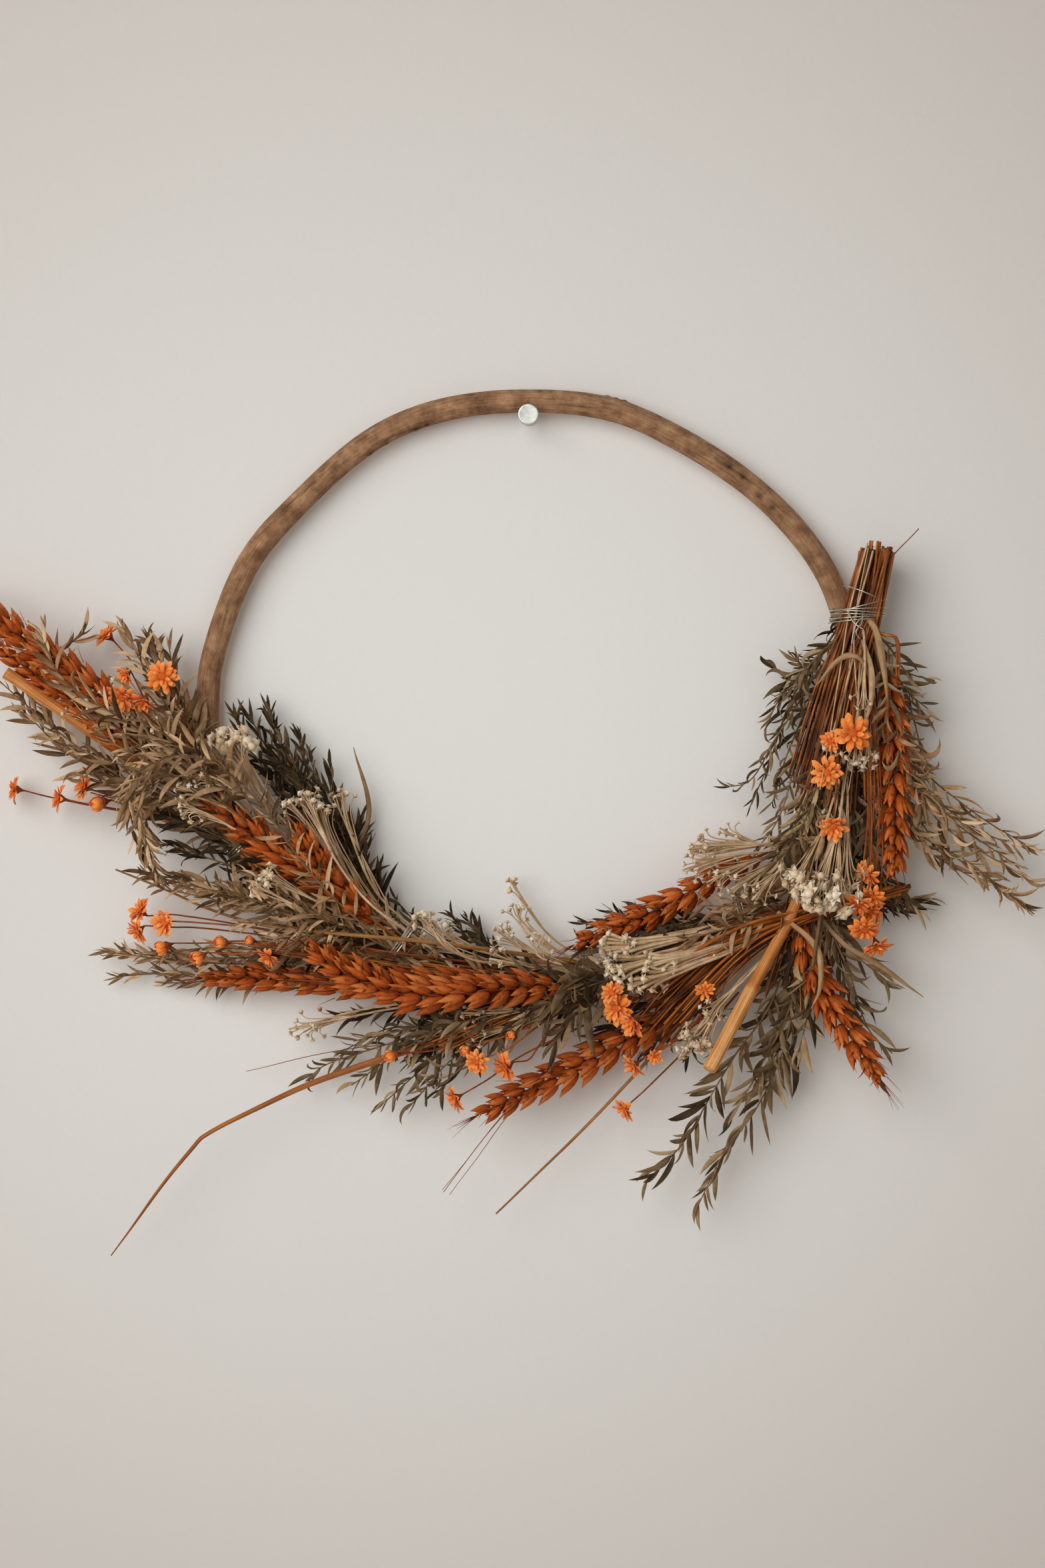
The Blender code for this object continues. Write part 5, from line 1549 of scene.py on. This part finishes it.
def rightWire():
    # a bright wire wound round the bunch and the hoop, with twisted tails and one loose slanting turn
    values = dict(
        turns=6, across=14.2, deep=16.5, middle=(172.5, 20), top=-102, pitch=1.45, radius=0.36,
        lean=0.24, leanFrom=-107,  # the bunch leans, and the turns follow it
        looseTurn=(-95.5, -4.2, 0.72),  # height, slant and how wide it is
        tails=[[(176, -107, 37), (171, -111, 39), (169, -117, 38), (168, -123, 37)],
               [(174, -106, 37), (173, -112, 40), (170, -116, 41), (172, -120, 40)],
               [(166, -104, 34), (169, -111, 38), (174, -115, 40)]],
    )
    rand = random.Random("rightWire")
    angles = np.linspace(-math.pi, math.pi, 25)
    middle, depth = values["middle"]

    def turn(angle, z, slant, wide=1.0):
        x = middle + values["across"] * wide * math.cos(angle) + (z - values["leanFrom"]) * values["lean"]
        return at(x, z + slant * math.cos(angle), depth + values["deep"] * math.sin(angle))

    lines = []
    for k in range(values["turns"]):
        slant, z = rand.gauss(-0.4, 1.8), values["top"] - values["pitch"] * k
        lines.append([turn(a, z - values["pitch"] * a / (2 * math.pi), slant, rand.uniform(0.97, 1.03))
                      for a in angles])
    lines.append([turn(a, *values["looseTurn"]) for a in angles])
    lines += [smoothLine([at(*p) for p in tail], 1.2 * mm) for tail in values["tails"]]
    shapes = [rod(np.array(line), values["radius"] * mm, 8, 0, rand.random()) for line in lines]
    addPiece("rightWire", shapes, [finishes["wire"]], ["tie_wire_right"])


rightWire()


# the stage, the light and the camera

stageValues = dict(
    # the wall's colour runs from a lighter tone round the middle point to a darker one beyond the reach: a
    # painted pool of light, with painted shade towards the edges
    middleTone="e7e8e7", edgeTone="c4bdb7", middle=(-0.04, 0, -0.2), reach=(0.0, 0.75),
    plaster=(260, 0.25, 0.6),  # scale, strength and height of its bumps
    half=3.2, floor=-1.45, cove=0.35, rough=0.9, shine=0.2, aim=(0, 0, -0.19),
)


def wallFinish():
    # pale plaster, painted lighter round a middle point and darker towards its edges as a painted pool of
    # light; its back can't be seen and it holds no light back, so that the wreath shows from behind
    made, tree, shader = newMaterial("paleWall")
    place = addNode(tree, "ShaderNodeTexCoord").outputs["Object"]
    scale, *bump = stageValues["plaster"]
    away = addNode(tree, "ShaderNodeVectorMath", {0: place, 1: stageValues["middle"]}, operation="DISTANCE")
    share = rangeNode(tree, away.outputs["Value"], *stageValues["reach"], interpolation_type="SMOOTHSTEP")
    feed(tree, shader, {
        "Base Color": colourRamp(tree, share, (stageValues["middleTone"], stageValues["edgeTone"])),
        "Roughness": stageValues["rough"], "Specular IOR Level": stageValues["shine"],
        "Normal": bumpNode(tree, noiseNode(tree, place, scale, 5.0), *bump),
    })
    clear = addNode(tree, "ShaderNodeBsdfTransparent").outputs[0]
    behind = addNode(tree, "ShaderNodeNewGeometry").outputs["Backfacing"]
    shadow = addNode(tree, "ShaderNodeLightPath").outputs["Is Shadow Ray"]
    passed = mathNode(tree, "MAXIMUM", behind, shadow)
    mixed = addNode(tree, "ShaderNodeMixShader", {0: passed, 1: shader.outputs[0], 2: clear})
    tree.links.new(mixed.outputs[0], tree.nodes["Material Output"].inputs["Surface"])
    return made


def backdrop():
    # a wall that curves into a floor far below
    half, floor, cove = (stageValues[key] for key in ("half", "floor", "cove"))
    bm = bmesh.new()
    profile = [(0, half), (0, floor + cove)]
    profile += [(-cove * (1 - math.cos(a)), floor + cove * (1 - math.sin(a)))
                for a in np.linspace(0, math.pi / 2, 9)[1:]]
    profile += [(-2 * half, floor)]
    verts = [bm.verts.new((-half, y, z)) for y, z in profile]
    edges = [bm.edges.new(pair) for pair in zip(verts, verts[1:])]
    made = bmesh.ops.extrude_edge_only(bm, edges=edges)
    bmesh.ops.translate(bm, verts=[v for v in made["geom"] if isinstance(v, bmesh.types.BMVert)],
                        vec=(2 * half, 0, 0))
    bm.faces.ensure_lookup_table()
    bm.normal_update()
    if bm.faces[0].normal.y > 0:
        bmesh.ops.reverse_faces(bm, faces=bm.faces[:])
    mesh = bpy.data.meshes.new("backdrop")
    bm.to_mesh(mesh)
    bm.free()
    mesh.materials.append(wallFinish())
    mesh.shade_smooth()
    wall = bpy.data.objects.new("backdrop", mesh)
    bpy.context.scene.collection.objects.link(wall)


def softLight(name, place, size, energy, colour):
    light = bpy.data.lights.new(name, "AREA")
    light.shape = "RECTANGLE"
    light.size, light.size_y = size
    light.energy = energy
    light.color = colour
    lamp = bpy.data.objects.new(name, light)
    lamp.location = place
    lamp.rotation_euler = (Vector(place) - Vector(stageValues["aim"])).to_track_quat("Z", "Y").to_euler()
    lamp.visible_camera = False
    bpy.context.scene.collection.objects.link(lamp)


def lightAndWorld():
    softLight("windowLight", (-1.9, -3.0, 0.75), (3.4, 3.4), 114, (1.0, 0.985, 0.955))
    softLight("backFill", (0.6, 2.2, 0.5), (2.0, 2.0), 36, (1.0, 0.97, 0.93))
    softLight("roomFill", (1.6, -2.6, 0.2), (2.4, 2.4), 8, (1.0, 0.98, 0.94))
    # the world lights the object dimly, but looks pale behind it
    values = dict(dim=(0.96, 0.9, 0.82, 1), dimStrength=0.2, pale=(0.88, 0.87, 0.85, 1), paleStrength=0.75)
    world = bpy.data.worlds.new("paleRoom")
    world.use_nodes = True
    tree = world.node_tree
    dim = feed(tree, tree.nodes["Background"], {"Color": values["dim"], "Strength": values["dimStrength"]})
    pale = addNode(tree, "ShaderNodeBackground",
                   {"Color": values["pale"], "Strength": values["paleStrength"]})
    seen = addNode(tree, "ShaderNodeLightPath").outputs["Is Camera Ray"]
    mixed = addNode(tree, "ShaderNodeMixShader", {0: seen, 1: dim.outputs[0], 2: pale.outputs[0]})
    tree.links.new(mixed.outputs[0], tree.nodes["World Output"].inputs["Surface"])
    bpy.context.scene.world = world


def cameraInFront():
    values = dict(lens=85, long=36, frameHeight=0.8272, middle=(-3.06, -195.2), clip=(0.05, 30))
    camera = bpy.data.cameras.new("camera")
    camera.lens, camera.sensor_width = values["lens"], values["long"]
    camera.clip_start, camera.clip_end = values["clip"]
    view = bpy.data.objects.new("camera", camera)
    centre = at(*values["middle"], -hoopLine[0, 1] / mm)
    view.location = centre + toViewer * values["frameHeight"] * values["lens"] / values["long"]
    view.rotation_euler = (math.pi / 2, 0, 0)
    bpy.context.scene.collection.objects.link(view)
    bpy.context.scene.camera = view
    bpy.context.scene.view_settings.view_transform = "Standard"


backdrop()
lightAndWorld()
cameraInFront()
print("stage set")
